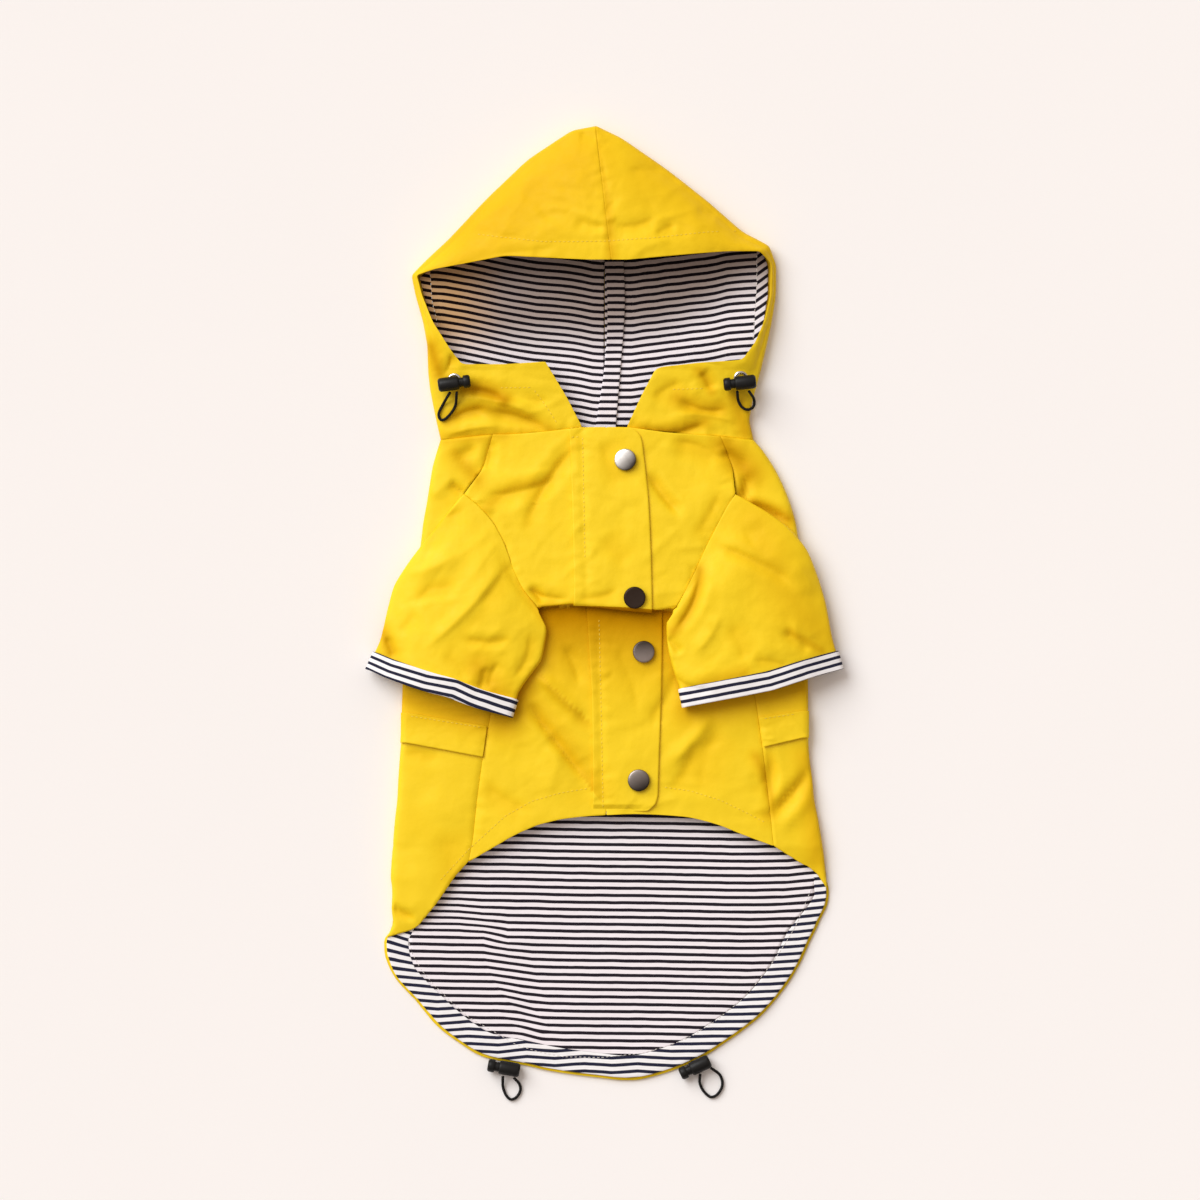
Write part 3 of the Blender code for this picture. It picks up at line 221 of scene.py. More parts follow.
# %% [markdown]
# ## Elastic cords
#
# Each lock holds a short loop of round black elastic, 1.7 mm thick, that comes out of the barrel and goes
# back into it. A curve with a round bevel is the natural way. Its route is a smooth curve through a few
# knots in plan, at the height of what the loop lies on, and it rises to the barrel at both ends.

# %% The four loops, in millimetres: height at the barrel, knots in plan
CORD_THICKNESS = 1.7
CORD_POINTS = 18
CORD_CLEAR = {"hood": 0.35, "tail": 0.1}
HOOD_EDGE = 6.66
CORD_LOOPS = {
    "hood_left": (15.89, ((-92.5, 126.5), (-96.5, 120.0), (-99.5, 113.5), (-97.5, 110.0), (-93.5, 112.5),
                          (-89.5, 118.5), (-88.5, 126.8))),
    "hood_right": (15.49, ((79.5, 127.2), (80.2, 121.9), (82.5, 117.8), (86.2, 116.3), (89.4, 118.3),
                           (89.6, 122.7), (86.5, 127.2))),
    "tail_left": (3.85, ((-61.0, -283.9), (-61.0, -290.4), (-59.0, -295.6), (-56.0, -298.0), (-52.5, -296.2),
                         (-50.5, -292.2), (-51.4, -288.2), (-54.4, -284.9))),
    "tail_right": (3.85, ((57.5, -282.5), (57.2, -287.6), (59.4, -292.8), (64.0, -296.5), (68.2, -294.5),
                          (70.8, -289.2), (69.3, -283.2), (63.9, -278.9))),
}


# %% Routes of the loops
def soft_step(t):
    """From 0 to 1, with a soft start and a soft end."""
    t = np.clip(t, 0.0, 1.0)
    return t * t * (3.0 - 2.0 * t)


def tree_of(meshes):
    """A tree of the faces of some meshes, for rays to meet."""
    whole = bmesh.new()
    for mesh in meshes:
        whole.from_mesh(mesh)
    tree = BVHTree.FromBMesh(whole)
    whole.free()
    return tree


def from_above(tree, x, y):
    """The place where a ray from above meets a tree, in metres, or None."""
    return tree.ray_cast(Vector((x, y, 0.1)), Vector((0.0, 0.0, -1.0)))[0]


def lengths_along(line):
    """How far along a line each of its points lies."""
    return np.concatenate(([0.0], np.cumsum(np.hypot(*np.diff(line, axis=0).T))))


def curve_through(knots, count):
    """A smooth curve through the knots, read at even steps of its length."""
    knots = np.array(knots)
    ends = np.vstack([2 * knots[0] - knots[1], knots, 2 * knots[-1] - knots[-2]])
    t = np.linspace(0.0, 1.0, 12, endpoint=False)[:, None]
    arcs = []
    for a, b, c, d in zip(ends[:-3], ends[1:-2], ends[2:-1], ends[3:]):
        bend = (2 * a - 5 * b + 4 * c - d) * t ** 2 + (3 * b - a - 3 * c + d) * t ** 3
        arcs.append(0.5 * (2 * b + (c - a) * t + bend))
    line = np.vstack([*arcs, knots[-1:]])
    runs = lengths_along(line)
    at = np.linspace(0.0, runs[-1], count)
    return np.stack([np.interp(at, runs, line[:, 0]), np.interp(at, runs, line[:, 1])], axis=1)


def loop_route(name, height, knots):
    """Points of a loop that leaves its barrel at a height, lies down, and goes back."""
    plan = curve_through(knots, CORD_POINTS)
    under = np.zeros(CORD_POINTS)
    if name.startswith("hood"):
        tree = tree_of([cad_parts[name].data])
        for number, (x, y) in enumerate(plan):
            hits = [from_above(tree, (x + dx * CORD_THICKNESS) * MM, (y + dy * CORD_THICKNESS) * MM)
                    for dx, dy in ((0, 0), (1, 0), (-1, 0), (0, 1), (0, -1))]
            under[number] = max(HOOD_EDGE if hit is None else hit.z / MM for hit in hits)
    rest = under + CORD_CLEAR[name[:4]] + CORD_THICKNESS / 2
    share = np.linspace(0.0, 1.0, CORD_POINTS)
    lying = soft_step(np.minimum(share, 1.0 - share) / 0.22)
    return np.column_stack([plan, height + (rest - height) * lying])


# %% Elastic finish and the loops
elastic_finish, tree, shader = new_finish("braided_elastic", Roughness=0.75, Specular_IOR_Level=0.2)
place = object_place(tree)
braid = add_node(tree, "ShaderNodeTexVoronoi", {"Vector": place, "Scale": 1700.0}).outputs["Distance"]
fill_all(tree, shader, Base_Color=colour_mix(tree, braid, (0.012, 0.011, 0.011, 1), (0.004, 0.004, 0.004, 1)),
         Normal=bump(tree, braid, 0.00012, 0.8))


def stand_in(piece, node, body):
    """Let a piece ride on a body in place of its solid."""
    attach(piece, body)
    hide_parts(node)


def elastic_loop(name, route):
    """A free loop of elastic along its route, as one open curve."""
    points = [Vector(point) * MM for point in route]
    curve = bpy.data.curves.new("elastic_" + name, "CURVE")
    curve.dimensions = "3D"
    curve.bevel_depth = CORD_THICKNESS / 2 * MM
    curve.bevel_resolution = 3
    curve.resolution_u = 4
    curve.use_fill_caps = True
    spline = curve.splines.new("BEZIER")
    spline.bezier_points.add(len(points) - 1)
    for knot, point in zip(spline.bezier_points, points):
        knot.co = point
        knot.handle_left_type = knot.handle_right_type = "AUTO"
    curve.materials.append(elastic_finish)
    loop = add_object("elastic_" + name, curve)
    stand_in(loop, "cord_" + name, "coat")
    length = sum((b - a).length for a, b in zip(points, points[1:]))
    return length


for name, (height, knots) in CORD_LOOPS.items():
    print("loop", name, round(elastic_loop(name, loop_route(name, height, knots)) * 1000, 1), "mm")

# %% [markdown]
# ## Yellow coated cloth
#
# The shell is a plain weave with a thin soft coating. Seen from a step away it is an even, warm yellow with
# a satin gleam; close up it has tiny crinkles where the coating has been bent. Two scales of noise give the
# crinkles, two crossed waves give the weave, and the gleam varies a little from place to place.


# %% Yellow finish
def weave_height(tree, place, pitch):
    """Threads over and under each other, as the higher of two crossed ripples."""
    inputs = {"Vector": place, "Scale": 0.314 / pitch}
    waves = [add_node(tree, "ShaderNodeTexWave", inputs, bands_direction=way) for way in ("X", "Y")]
    return math_node(tree, "MAXIMUM", *(wave.outputs["Fac"] for wave in waves))


def with_painted_shade(tree, colour, gleam):
    """A colour darkened by the painted shade of its vertices, and the gleam turned down by the same painted
    shade.
    """
    painted_loss = add_node(tree, "ShaderNodeAttribute", attribute_name="painted_shade").outputs["Color"]
    left_by_painted_shade = add_node(tree, "ShaderNodeInvert", {"Color": painted_loss}).outputs["Color"]
    blue = add_node(tree, "ShaderNodeSeparateColor", {"Color": left_by_painted_shade}).outputs["Blue"]
    return colour_mix(tree, 1.0, colour, left_by_painted_shade, "MULTIPLY"), math_node(tree, "MULTIPLY", blue, gleam)


yellow_finish, tree, shader = new_finish("yellow_coated_cloth")
place = object_place(tree)
patches = noise_value(tree, place, 22.0, 3.0)
crinkles = noise_value(tree, place, 150.0, 4.0, 0.62)
yellow = colour_mix(tree, patches, (0.890, 0.610, 0.005, 1), (0.925, 0.660, 0.009, 1))
# The vertices' painted shade darkens the yellow towards orange and takes away its gleam.
colour, gleam_under_painted_shade = with_painted_shade(tree, yellow, 0.3)
soft = bump(tree, noise_value(tree, place, 62.0, 3.0, 0.55), 0.0008, 0.4)
fine = bump(tree, crinkles, 0.00035, 0.5, soft)
weave = bump(tree, weave_height(tree, place, 0.00045), 0.00003, 0.6, fine)
fill_all(tree, shader, Base_Color=colour, Specular_IOR_Level=gleam_under_painted_shade, Normal=weave,
         Roughness=map_range(tree, crinkles, (0.3, 0.7), (0.52, 0.66)))
print("yellow finish:", len(tree.nodes), "nodes")

# %% [markdown]
# ## Striped cotton
#
# The lining is a plain woven cotton in navy and white, a stripe every 4.3 mm. The stripes are dyed yarn, so
# they follow the cloth wherever it goes: they are drawn on the piece's own UV map, where one step of v is
# one pair of stripes. Their edges are a little soft, because yarns cross there.


# %% Striped finish
STRIPE_BLUR = 0.035
DARK_SHARE = 0.45


def striped_finish(name, navy, white):
    """Striped cotton, dark where v of the UV map is near a whole number."""
    material, tree, shader = new_finish(name, Roughness=0.85)
    place = object_place(tree)
    v = add_node(tree, "ShaderNodeSeparateXYZ",
                 {"Vector": add_node(tree, "ShaderNodeUVMap", uv_map="cloth").outputs["UV"]}).outputs["Y"]
    wander = math_node(tree, "SUBTRACT", noise_value(tree, place, 90.0), 0.5)
    v = math_node(tree, "ADD", v, math_node(tree, "MULTIPLY", wander, 0.12))
    phase = math_node(tree, "FRACT", math_node(tree, "ADD", v, 0.5))
    away = math_node(tree, "ABSOLUTE", math_node(tree, "SUBTRACT", phase, 0.5))
    edge = DARK_SHARE / 2
    dark = map_range(tree, away, (edge - STRIPE_BLUR, edge + STRIPE_BLUR), (1.0, 0.0),
                     interpolation_type="SMOOTHSTEP")
    yarn = noise_value(tree, place, 700.0)
    pale = colour_mix(tree, yarn, tone(white, 0.93), tone(white))
    deep = colour_mix(tree, yarn, tone(navy), tone(navy, 1.8))
    # The vertices' painted shade darkens the stripes, most under the hood's brim, and takes away their gleam.
    colour, gleam_under_painted_shade = with_painted_shade(tree, colour_mix(tree, dark, pale, deep), 0.2)
    soft = bump(tree, noise_value(tree, place, 70.0, 3.0), 0.0008, 0.5)
    weave = bump(tree, weave_height(tree, place, 0.0006), 0.00003, 0.5, soft)
    fill_all(tree, shader, Base_Color=colour, Specular_IOR_Level=gleam_under_painted_shade, Normal=weave)
    return material


stripes = striped_finish("striped_cotton", (0.009, 0.006, 0.011), (0.93, 0.88, 0.93))
fresh_stripes = striped_finish("striped_cotton_facing", (0.010, 0.011, 0.028), (0.93, 0.92, 0.94))
print("striped finish:", len(stripes.node_tree.nodes), "nodes")

# %% [markdown]
# ## Skins from solids
#
# A solid's mesh is loose triangles with one wall of cloth between two surfaces. A copy is merged, paired
# back into four-sided faces, cut once and smoothed by one to three steps of subdivision. Edges where the
# wall turns round at a cut are kept crisp, because a hem has a definite edge.

# %% Smooth copy of a solid
RIM_ANGLE = math.radians(62.0)
RIM_HOLD = 0.8


def smooth_copy(node, levels=2, ease=10):
    """A solid's skin cut finer and smoothed with its rims held, then eased in height."""
    skin = bmesh.new()
    skin.from_mesh(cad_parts[node].data)
    bmesh.ops.remove_doubles(skin, verts=skin.verts, dist=1e-5)
    bmesh.ops.join_triangles(skin, faces=skin.faces, angle_face_threshold=0.7, angle_shape_threshold=3.1)
    bmesh.ops.subdivide_edges(skin, edges=skin.edges, cuts=1, use_grid_fill=True)
    hold = skin.edges.layers.float.new("crease_edge")
    for edge in skin.edges:
        if edge.calc_face_angle(0.0) > RIM_ANGLE:
            edge[hold] = RIM_HOLD
    holder = add_object(node + "_coarse", mesh_from(skin, node + "_coarse"))
    finer = holder.modifiers.new("finer", "SUBSURF")
    finer.levels = finer.render_levels = levels
    ready = bpy.data.meshes.new_from_object(holder.evaluated_get(bpy.context.evaluated_depsgraph_get()))
    skin = bmesh.new()
    skin.from_mesh(ready)
    for name in list(skin.edges.layers.float.keys()):
        skin.edges.layers.float.remove(skin.edges.layers.float[name])
    bpy.data.objects.remove(holder)
    flat = [vert for vert in skin.verts if abs(vert.normal.z) > 0.9]
    upright = {"use_axis_x": False, "use_axis_y": False, "use_axis_z": True}
    for _ in range(ease):
        bmesh.ops.smooth_vert(skin, verts=flat, factor=0.5, **upright)
    return skin


print("rims are held where the wall turns more than", round(math.degrees(RIM_ANGLE)), "degrees")

# %% [markdown]
# ## Creases
#
# Coated cloth doesn't fall in even waves. It buckles in short creases of different depth that start where
# something holds it: a seam, a cuff, the fold under an arm. Each crease is one row of a table, a bent line
# with a width and a height, below zero for a trough. Its section is steep on one side and easy on the other,
# with a low trough beside it, and it fades out at both ends. The whole front moves as one, so a crease runs
# on from the panel to the placket that lies on it.

# %% Table of creases, by part of the coat: start, end, bow, width, height, in millimetres
CREASES = {
    "body": (
        (-16, 97, -49, 43, -3, 4.4, -2.6), (-28, 76, -73, 65, 3, 5, -2.6),
        (25, 80, 47, 52, -2, 3.5, -2.5), (39, 97, 72, 84, 4, 6, -2.1), (-3, 98, 10, 68, 0, 9, -1.2),
        (-3, 40, 15, 22, 0, 8, -0.9), (-48, 9, -20, 3, -2, 3.5, -1.8), (-18, 3, 10, 9, -2, 4, -1.3),
        (-46, 9, -38, -1, 2, 2.6, -2.1), (-68, 99, -72, 80, 1, 3, -2), (-90, 86, -76, 94, 1, 4, -2.3),
        (-93, 73, -83, 65, 0, 3, -2.3), (-104, 62, -88, 78, 1, 6, 1.1), (71, 94, 88, 85, -3, 5, -2.8),
        (84, 78, 82, 61, 1, 3, -2.6), (85, 59, 110, 48, 3, 3.4, -2.9), (70, 70, 52, 38, 2, 5, -1.1),
        (-50, -56, -9, -110, 0, 3.4, -3.4), (-43, -41, -13, -69, 0, 4, 3.4),
        (-25, -24, -14, -51, 1, 4, -1.7), (-74, -105, -42, -125, -3, 6, -1.2),
        (54, -79, 38, -113, 4, 6, -1.4), (72, -70, 57, -118, -4, 9, -1.2),
        (45, -35, 24, -72, 3, 5, -1.5), (66, -65, 39, -97, 2, 4, 2), (100, -92, 88, -115, 3, 5, -1.2),
        (97, -86, 98, -119, 2, 3, -2.4), (124, -97, 98, -127, 2, 3.4, -3),
        (126, -112, 104, -136, 2, 4, 1.6), (-108, -111, -81, -131, -4, 8, 1.1),
        (-128, -181, -113, -188.5, -1, 2.4, -2.4), (-120, -86, -99, -92, -1, 3.5, -1.8),
        (-99, -136, -94, -178, 4, 12, -1.1), (4, -22, 21, -70, 3, 7, -1.1),
        (-27, -82, -36, -118, 2, 9, 1.1),
    ),
    "hood": (
        (2, 226, -18, 230, 2, 3.5, -1.4), (2, 226, 33, 232, -3, 4, -1.6),
        (30, 219, 44, 226, 2, 3.5, -1.5), (14, 259, 36, 259, 1, 3.5, -0.9),
        (55, 236, 67, 232, 0, 4, -1.1), (-16, 282, -3, 278, 1, 4, -1),
        (-51, 248, -32, 223, 4, 12, -1.5), (-81, 220, -51, 239, 5, 11, 1.2),
        (21, 248, 57, 224, -6, 12, -1.3), (14, 205, 40, 218, 2, 6, 1),
        (-83, 128, -60, 122, 2, 4, -3.4), (-87, 124, -38, 111, 3, 4.6, 2.7),
        (-93, 110, -70, 117, 2, 3.6, -2.6), (-70, 116, -33, 104, 2, 3.8, -2.4),
        (-96, 100, -62, 106, 2, 4, 1.5), (-62, 127, -32, 122, -2, 5, -1.1),
        (16, 104, 63, 110, -5, 3.6, -3), (44, 123, 75, 117, -4, 4.4, -2.9),
        (28, 121, 48, 133, 2, 5, -1.3), (64, 127, 57, 139, -1, 4, -2.2), (38, 112, 80, 108, 3, 4, 1.8),
        (-92, 151, -98, 135, 2, 3.2, -2.1),
    ),
    "sleeve_left": (
        (-81, 57, -112, 31, -5, 7, -2.4), (-85, 33, -122, 18, 4, 6, 1.6),
        (-86, 8, -114, 1, -5, 6, -1.5), (-54, -20, -87, -19.5, 3, 3, -2),
        (-59, 24, -110, -29, 3, 4.2, 1.8), (-72, -37, -76, -53, 1, 3.4, -2.4),
        (-62, -34, -69, -52, -2, 3.4, -1.8), (-132, -20, -127, -34, 1, 2.6, -2.2),
        (-99, -31, -83, -47, 3, 6, -1.3), (-45, -16, -56, -46, 4, 4, -1.5),
        (-51, 26, -75, -4, -3, 6, -1.2), (-112, -4, -125, -18, 1, 5, -1.1),
    ),
    "sleeve_right": (
        (63, 36, 117, 9, 3, 3.6, -2.5), (57, 20, 41, -17, 4, 3.6, -2.9),
        (37, -20, 46, -31, 0, 2.8, -1.9), (108, -14, 125, -28, -2, 3.4, -2),
        (40, -41, 66, -51, -4, 4, -1.7), (74, -13, 84, -37, 2, 7, -1.1),
        (84, 50, 100, 26, -4, 9, -1.3), (51, -31, 69, -4, -4, 5, 1.4), (124, 2, 111, 26, -4, 8, 1.1),
        (88, -34, 112, -38, 1, 4, -1.2),
    ),
    "tail": (
        (-81, -179, -44, -252, 10, 6, 1),
    ),
}


# %% Height of the creases at a set of places
def bent_line(start, end, bow, count=24):
    """Points along a line that bows sideways in the middle."""
    start, end = np.array(start, float), np.array(end, float)
    along = end - start
    side = np.array((-along[1], along[0])) / np.linalg.norm(along)
    middle = (start + end) / 2 + side * bow * 2
    t = np.linspace(0.0, 1.0, count)[:, None]
    return (1 - t) ** 2 * start + 2 * t * (1 - t) * middle + t ** 2 * end


def nearest(places, line):
    """Distance from each place to a line of points, its share along the line, and its side."""
    a, b = line[:-1], line[1:]
    step = b - a
    reach = places[:, None, :] - a
    share = np.clip((reach * step).sum(2) / (step ** 2).sum(1), 0.0, 1.0)
    gap = reach - share[..., None] * step
    distance = np.hypot(gap[..., 0], gap[..., 1])
    closest = distance.argmin(1)
    rows = np.arange(len(places))
    side = np.sign(step[closest, 0] * reach[rows, closest, 1] - step[closest, 1] * reach[rows, closest, 0])
    return distance[rows, closest], (closest + share[rows, closest]) / len(a), side


LIT_FROM = (-0.7, 0.7)
STEEP_SIDE = 2.0
EASY_SIDE = 0.7
END_FADE = 0.28
CALM = {"body": 1.0, "hood": 1.0, "sleeve_left": 0.85, "sleeve_right": 0.95, "tail": 1.0}


def crease_height(group, rows, places):
    """The creases of a part of the coat added up, in millimetres."""
    total = np.zeros(len(places))
    for x0, y0, x1, y1, bow, width, height in rows:
        line = bent_line((x0, y0), (x1, y1), bow)
        reach = 4.0 * width
        near = np.all((places > line.min(0) - reach) & (places < line.max(0) + reach), axis=1)
        if not near.any():
            continue
        distance, share, side = nearest(places[near], line)
        d = distance / width
        along = line[-1] - line[0]
        lit = side if along[1] * LIT_FROM[0] < along[0] * LIT_FROM[1] else -side
        steep = np.where(lit * height < 0.0, STEEP_SIDE, EASY_SIDE)
        section = np.exp(-(d * steep) ** 1.25) - 0.2 * np.exp(-((d - 1.9) / 0.85) ** 2)
        total[near] += CALM[group] * height * section * soft_step(np.minimum(share, 1.0 - share) / END_FADE)
    return total


def broad_waves(places, seed, size=34.0, height=0.7):
    """The slight unevenness of cloth that has been folded and worn."""
    values = [noise.fractal(Vector((x / size, y / size, seed)), 0.8, 2.3, 4) for x, y in places]
    return np.array(values) * height


print("creases in the table:", sum(len(rows) for rows in CREASES.values()))

# %% [markdown]
# ## Sewn seams
#
# Where two panels are sewn, the thread pulls both down a little and the cloth puckers between stitches that
# are tighter and looser. Each seam is a line on the coat with a dip along it and small ripples across it.
# The hood's brim is faced, so it stays nearly flat.

# %% Seam lines, in millimetres
BRIM = ((-84.5, 222.5), (-37.0, 216.5), (-15.5, 216.5), (4.5, 217.0), (30.5, 218.5), (61.0, 222.5),
        (81.0, 223.5))
SEAMS = (
    ("body", ((-84.5, 65.5), (-76.0, 59.0), (-66.5, 48.5), (-59.5, 35.0), (-55.0, 20.5), (-49.0, 8.0))),
    ("body", ((78.5, 65.5), (74.0, 59.0), (68.5, 48.5), (61.5, 35.0), (55.0, 20.5), (49.0, 8.0))),
    ("body", ((-67.0, 101.5), (-69.5, 92.0), (-72.5, 81.0))),
    ("body", ((69.5, 98.5), (77.0, 80.0), (78.5, 65.0))),
    ("body", ((-68.5, -67.5), (-70.5, -74.0), (-73.0, -92.0), (-76.5, -118.0), (-79.0, -142.0))),
    ("body", ((90.5, -58.0), (92.5, -68.5), (95.0, -86.0), (97.5, -106.0), (99.5, -124.0), (101.0, -133.0))),
    ("body", ((-13.5, 107.0), (-13.0, 71.5), (-11.5, 28.0), (-11.0, -1.0))),
    ("body", ((-3.5, -9.5), (-2.5, -60.0), (-1.0, -125.0))),
    ("hood", ((-98.0, 97.5), (-67.0, 101.0), (-55.0, 101.0), (-31.0, 103.0), (-13.5, 105.5), (13.5, 105.5),
              (38.0, 102.0), (70.0, 99.5), (86.0, 101.5))),
    ("hood", BRIM),
    ("hood", ((-5.0, 283.0), (-2.0, 262.0), (1.0, 240.0), (4.0, 208.0))),
)
SEAM_STEP = 2.0
SEAM_WIDTH = 2.2
SEAM_DIP = 0.5
PUCKER = 0.12
BRIM_DIP = 0.2
BRIM_PUCKER = 0.02


def dense_line(points, step=SEAM_STEP):
    """A line with its points at most a step apart."""
    points = np.array(points, float)
    pieces = [points[:1]]
    for a, b in zip(points, points[1:]):
        count = max(2, int(np.hypot(*(b - a)) / step) + 1)
        pieces.append(a + (b - a) * np.linspace(0.0, 1.0, count)[1:, None])
    return np.vstack(pieces)


def seam_height(group, places):
    """The dips and ripples of the seams in a part of the coat, in millimetres."""
    total = np.zeros(len(places))
    for number, (name, points) in enumerate(SEAMS):
        if name != group:
            continue
        dip, pucker = (BRIM_DIP, BRIM_PUCKER) if points is BRIM else (SEAM_DIP, PUCKER)
        line = dense_line(points)
        distance, share, side = nearest(places, line)
        along = share * (len(line) - 1) * SEAM_STEP
        ripple = np.sin(along / 1.25 + number + side * 0.7) + 0.6 * np.sin(along / 0.83 + 2.0 * number)
        fade = np.clip(np.minimum(share, 1.0 - share) * 12.0, 0.0, 1.0)
        total -= dip * fade * np.exp(-(distance / SEAM_WIDTH) ** 2)
        total += pucker * fade * ripple * np.exp(-((distance - 3.0) / 3.2) ** 2)
    return total


print("seams:", len(SEAMS))

# %% [markdown]
# ## Small creases
#
# Between the few large folds a worn coat has many faint ones: short tucks that start at a seam, and long
# low lines left by folding. A seeded draw of directions and lengths places them, the same on every run.

# %% Seeded small creases: left, right, bottom, top of each field, main direction
FIELDS = {"body": (-95, 105, -135, 95, 0.2), "hood": (-95, 95, 105, 270, 0.0),
          "sleeve_left": (-130, -45, -50, 55, 0.6), "sleeve_right": (45, 130, -45, 50, -0.5)}
AREA_OF_ONE = 620
SEED = 11


def small_creases():
    """Rows like those of CREASES: tucks across the seams, then faint lines over each field."""
    draw = np.random.default_rng(SEED)
    rows = {group: [] for group in FIELDS}
    for group, points in SEAMS:
        if points is BRIM:
            continue
        line = dense_line(points)
        for number in range(3, len(line) - 3, 4):
            along = line[number + 1] - line[number - 1]
            turn = math.atan2(along[1], along[0]) + math.pi / 2 + draw.uniform(-0.75, 0.75)
            reach = draw.uniform(7.0, 17.0) * draw.choice((-1.0, 1.0))
            start = line[number] - np.array((math.cos(turn), math.sin(turn))) * reach * 0.25
            end = start + np.array((math.cos(turn), math.sin(turn))) * reach
            rows[group].append((*start, *end, draw.uniform(-1.5, 1.5), draw.uniform(1.3, 2.4),
                                draw.uniform(0.2, 0.5) * draw.choice((-1.0, 1.0))))
    for group, (x0, x1, y0, y1, main) in FIELDS.items():
        for _ in range(int((x1 - x0) * (y1 - y0) / AREA_OF_ONE)):
            x, y = draw.uniform(x0, x1), draw.uniform(y0, y1)
            turn, reach = draw.normal(main, 0.45), draw.uniform(18.0, 55.0)
            rows[group].append((x, y, x + reach * math.cos(turn), y + reach * math.sin(turn),
                                draw.uniform(-3.0, 3.0), draw.uniform(1.5, 3.5),
                                draw.uniform(0.15, 0.5) * draw.choice((-1.0, 1.0))))
    return rows


SMALL_CREASES = small_creases()
print("small creases:", sum(len(rows) for rows in SMALL_CREASES.values()))

# %% [markdown]
# ## Which layer moves
#
# The coat is several layers thick, and only the upper one creases: the lower lies flat on the table. How
# far a point lies under the top of its own piece tells which layer it is in, and creases fade out with it.
# They also fade out round snaps and eyelets, which need a flat seat.

# %% Share of each vertex in the top layer
SNAP_PLACES = ((12.5, 86.0), (18.0, 3.5), (23.5, -29.0), (20.5, -106.0))
EYELET_PLACES = ((-93.0, 130.0), (84.0, 131.5))
SEAT_RADIUS = 9.0
LAYER_TOP = 1.6
LAYER_FADE = 2.6


def plan_of(skin):
    """The place of each vertex in plan, in millimetres."""
    return np.array([(vert.co.x, vert.co.y) for vert in skin.verts]) / MM


def top_share(skin, node):
    """1 on the upper layer, fading to 0 below it."""
    tree = tree_of([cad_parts[node].data])
    depths = []
    for vert in skin.verts:
        hit = from_above(tree, vert.co.x, vert.co.y)
        depths.append(0.0 if hit is None else (hit.z - vert.co.z) / MM)
    return 1.0 - soft_step((np.array(depths) - LAYER_TOP) / LAYER_FADE)


def hold_round(places, spots):
    """0 at fittings that need a flat seat, 1 away from them."""
    hold = np.ones(len(places))
    for spot in spots:
        distance = np.hypot(*(places - np.array(spot)).T)
        hold = np.minimum(hold, np.clip((distance - SEAT_RADIUS * 0.75) / (SEAT_RADIUS * 0.7), 0.0, 1.0))
    return hold


print("creases fade out", LAYER_TOP, "to", LAYER_TOP + LAYER_FADE, "mm under the top")

# %% [markdown]
# ## Painted shade
#
# The colour of the cloth is painted with shade where less light reaches it: in folds, under the chest fold,
# beside the sleeves and cuffs, over the hood's slopes, and on the lining under the hood's brim. The painted
# shade takes more blue and green than red, so a fold looks orange before it looks dark. A second table says
# where the shade is painted, and each vertex keeps what it loses of each colour.

# %% Table of painted shade, by part: start, end, bow, reach, share, side (0 both, 1 left, -1 right of the line)
PAINTED_SHADE_TABLE = {
    # Body: painted shadow under the chest fold, beside the sleeves and below the cuffs, painted shade in
    # folds, and on one side of some creases
    "body": (
        (-38, -2, 52, -6, 2, 27, 1.0, -1), (-34, -10, -56, -62, -3, 9, 0.8, 0),
        (37, -10, 50, -62, 0, 4, 0.6, 0), (-136, -50, -60, -71, -2, 8, 0.5, 0),
        (51, -62, 118, -50, 0, 9, 0.5, 0), (91, -92, 101, -126, 2, 3, 0.4, 0),
        (120, -92, 128, -154, 0, 6, 0.25, 0), (-51, -55, -9, -110, 0, 8, 0.3, 1),
        (-42, -39, -12, -68, 0, 5, 0.3, -1), (123, -97, 98, -127, 2, 4, 0.3, 0),
        (-90, 90, -76, 74, 0, 4, 0.35, 0), (72, 95, 87, 78, 0, 7, 0.6, 0),
        (86, 78, 81, 62, 0, 3, 0.6, 0), (89, 60, 110, 51, 0, 3, 0.7, 0),
        (-16, 97, -46, 48, -3, 3, 0.1, 0), (-71, 57, -43, 72, 3, 3, 0.25, 0),
        (-101, 98, -60, 101, 0, 4, 0.25, 0),
    ),
    # Hood: painted shade in the collar's folds, broad painted shade over both slopes, and along the middle
    # seam
    "hood": (
        (-84, 129, -60, 122, 2, 4, 0.8, 0), (-104, 154, -99, 138, 0, 4, 0.6, 0),
        (-93, 110, -70, 117, 2, 3.5, 0.4, 0), (-70, 116, -33, 104, 2, 3.5, 0.35, 0),
        (-102, 99, -45, 103, 0, 3.5, 0.25, 0), (20, 104, 60, 109, -3, 4, 0.4, 0),
        (44, 123, 70, 117, -3, 5, 0.4, 0), (78, 124, 85, 102, 0, 5, 0.4, 0),
        (64, 127, 57, 139, -1, 3, 0.4, 0), (30, 262, 84, 222, 5, 32, 0.22, 0),
        (-84, 222, -20, 268, 0, 34, 0.34, 0), (-5, 283, 2, 240, 0, 3, 0.3, 0),
        (2, 240, 4, 208, 0, 3.5, 0.35, 0),
    ),
    "sleeve_left": (
        (-76, -38, -62, -57, 0, 8, 0.35, 0), (-135, -14, -128, -29, 0, 4, 0.5, 0),
        (-50, 14, -36, -8, 0, 3, 0.35, 0), (-142, -36, -58, -63, -2, 3, 0.2, 0),
    ),
    "sleeve_right": (
        (57, 20, 41, -17, 4, 3, 0.5, 0), (111, -17, 130, -28, 0, 3, 0.35, 0),
        (83, -42, 60, -48, 0, 4, 0.3, 0), (92, 50, 134, -20, -8, 14, 0.16, 0),
    ),
}
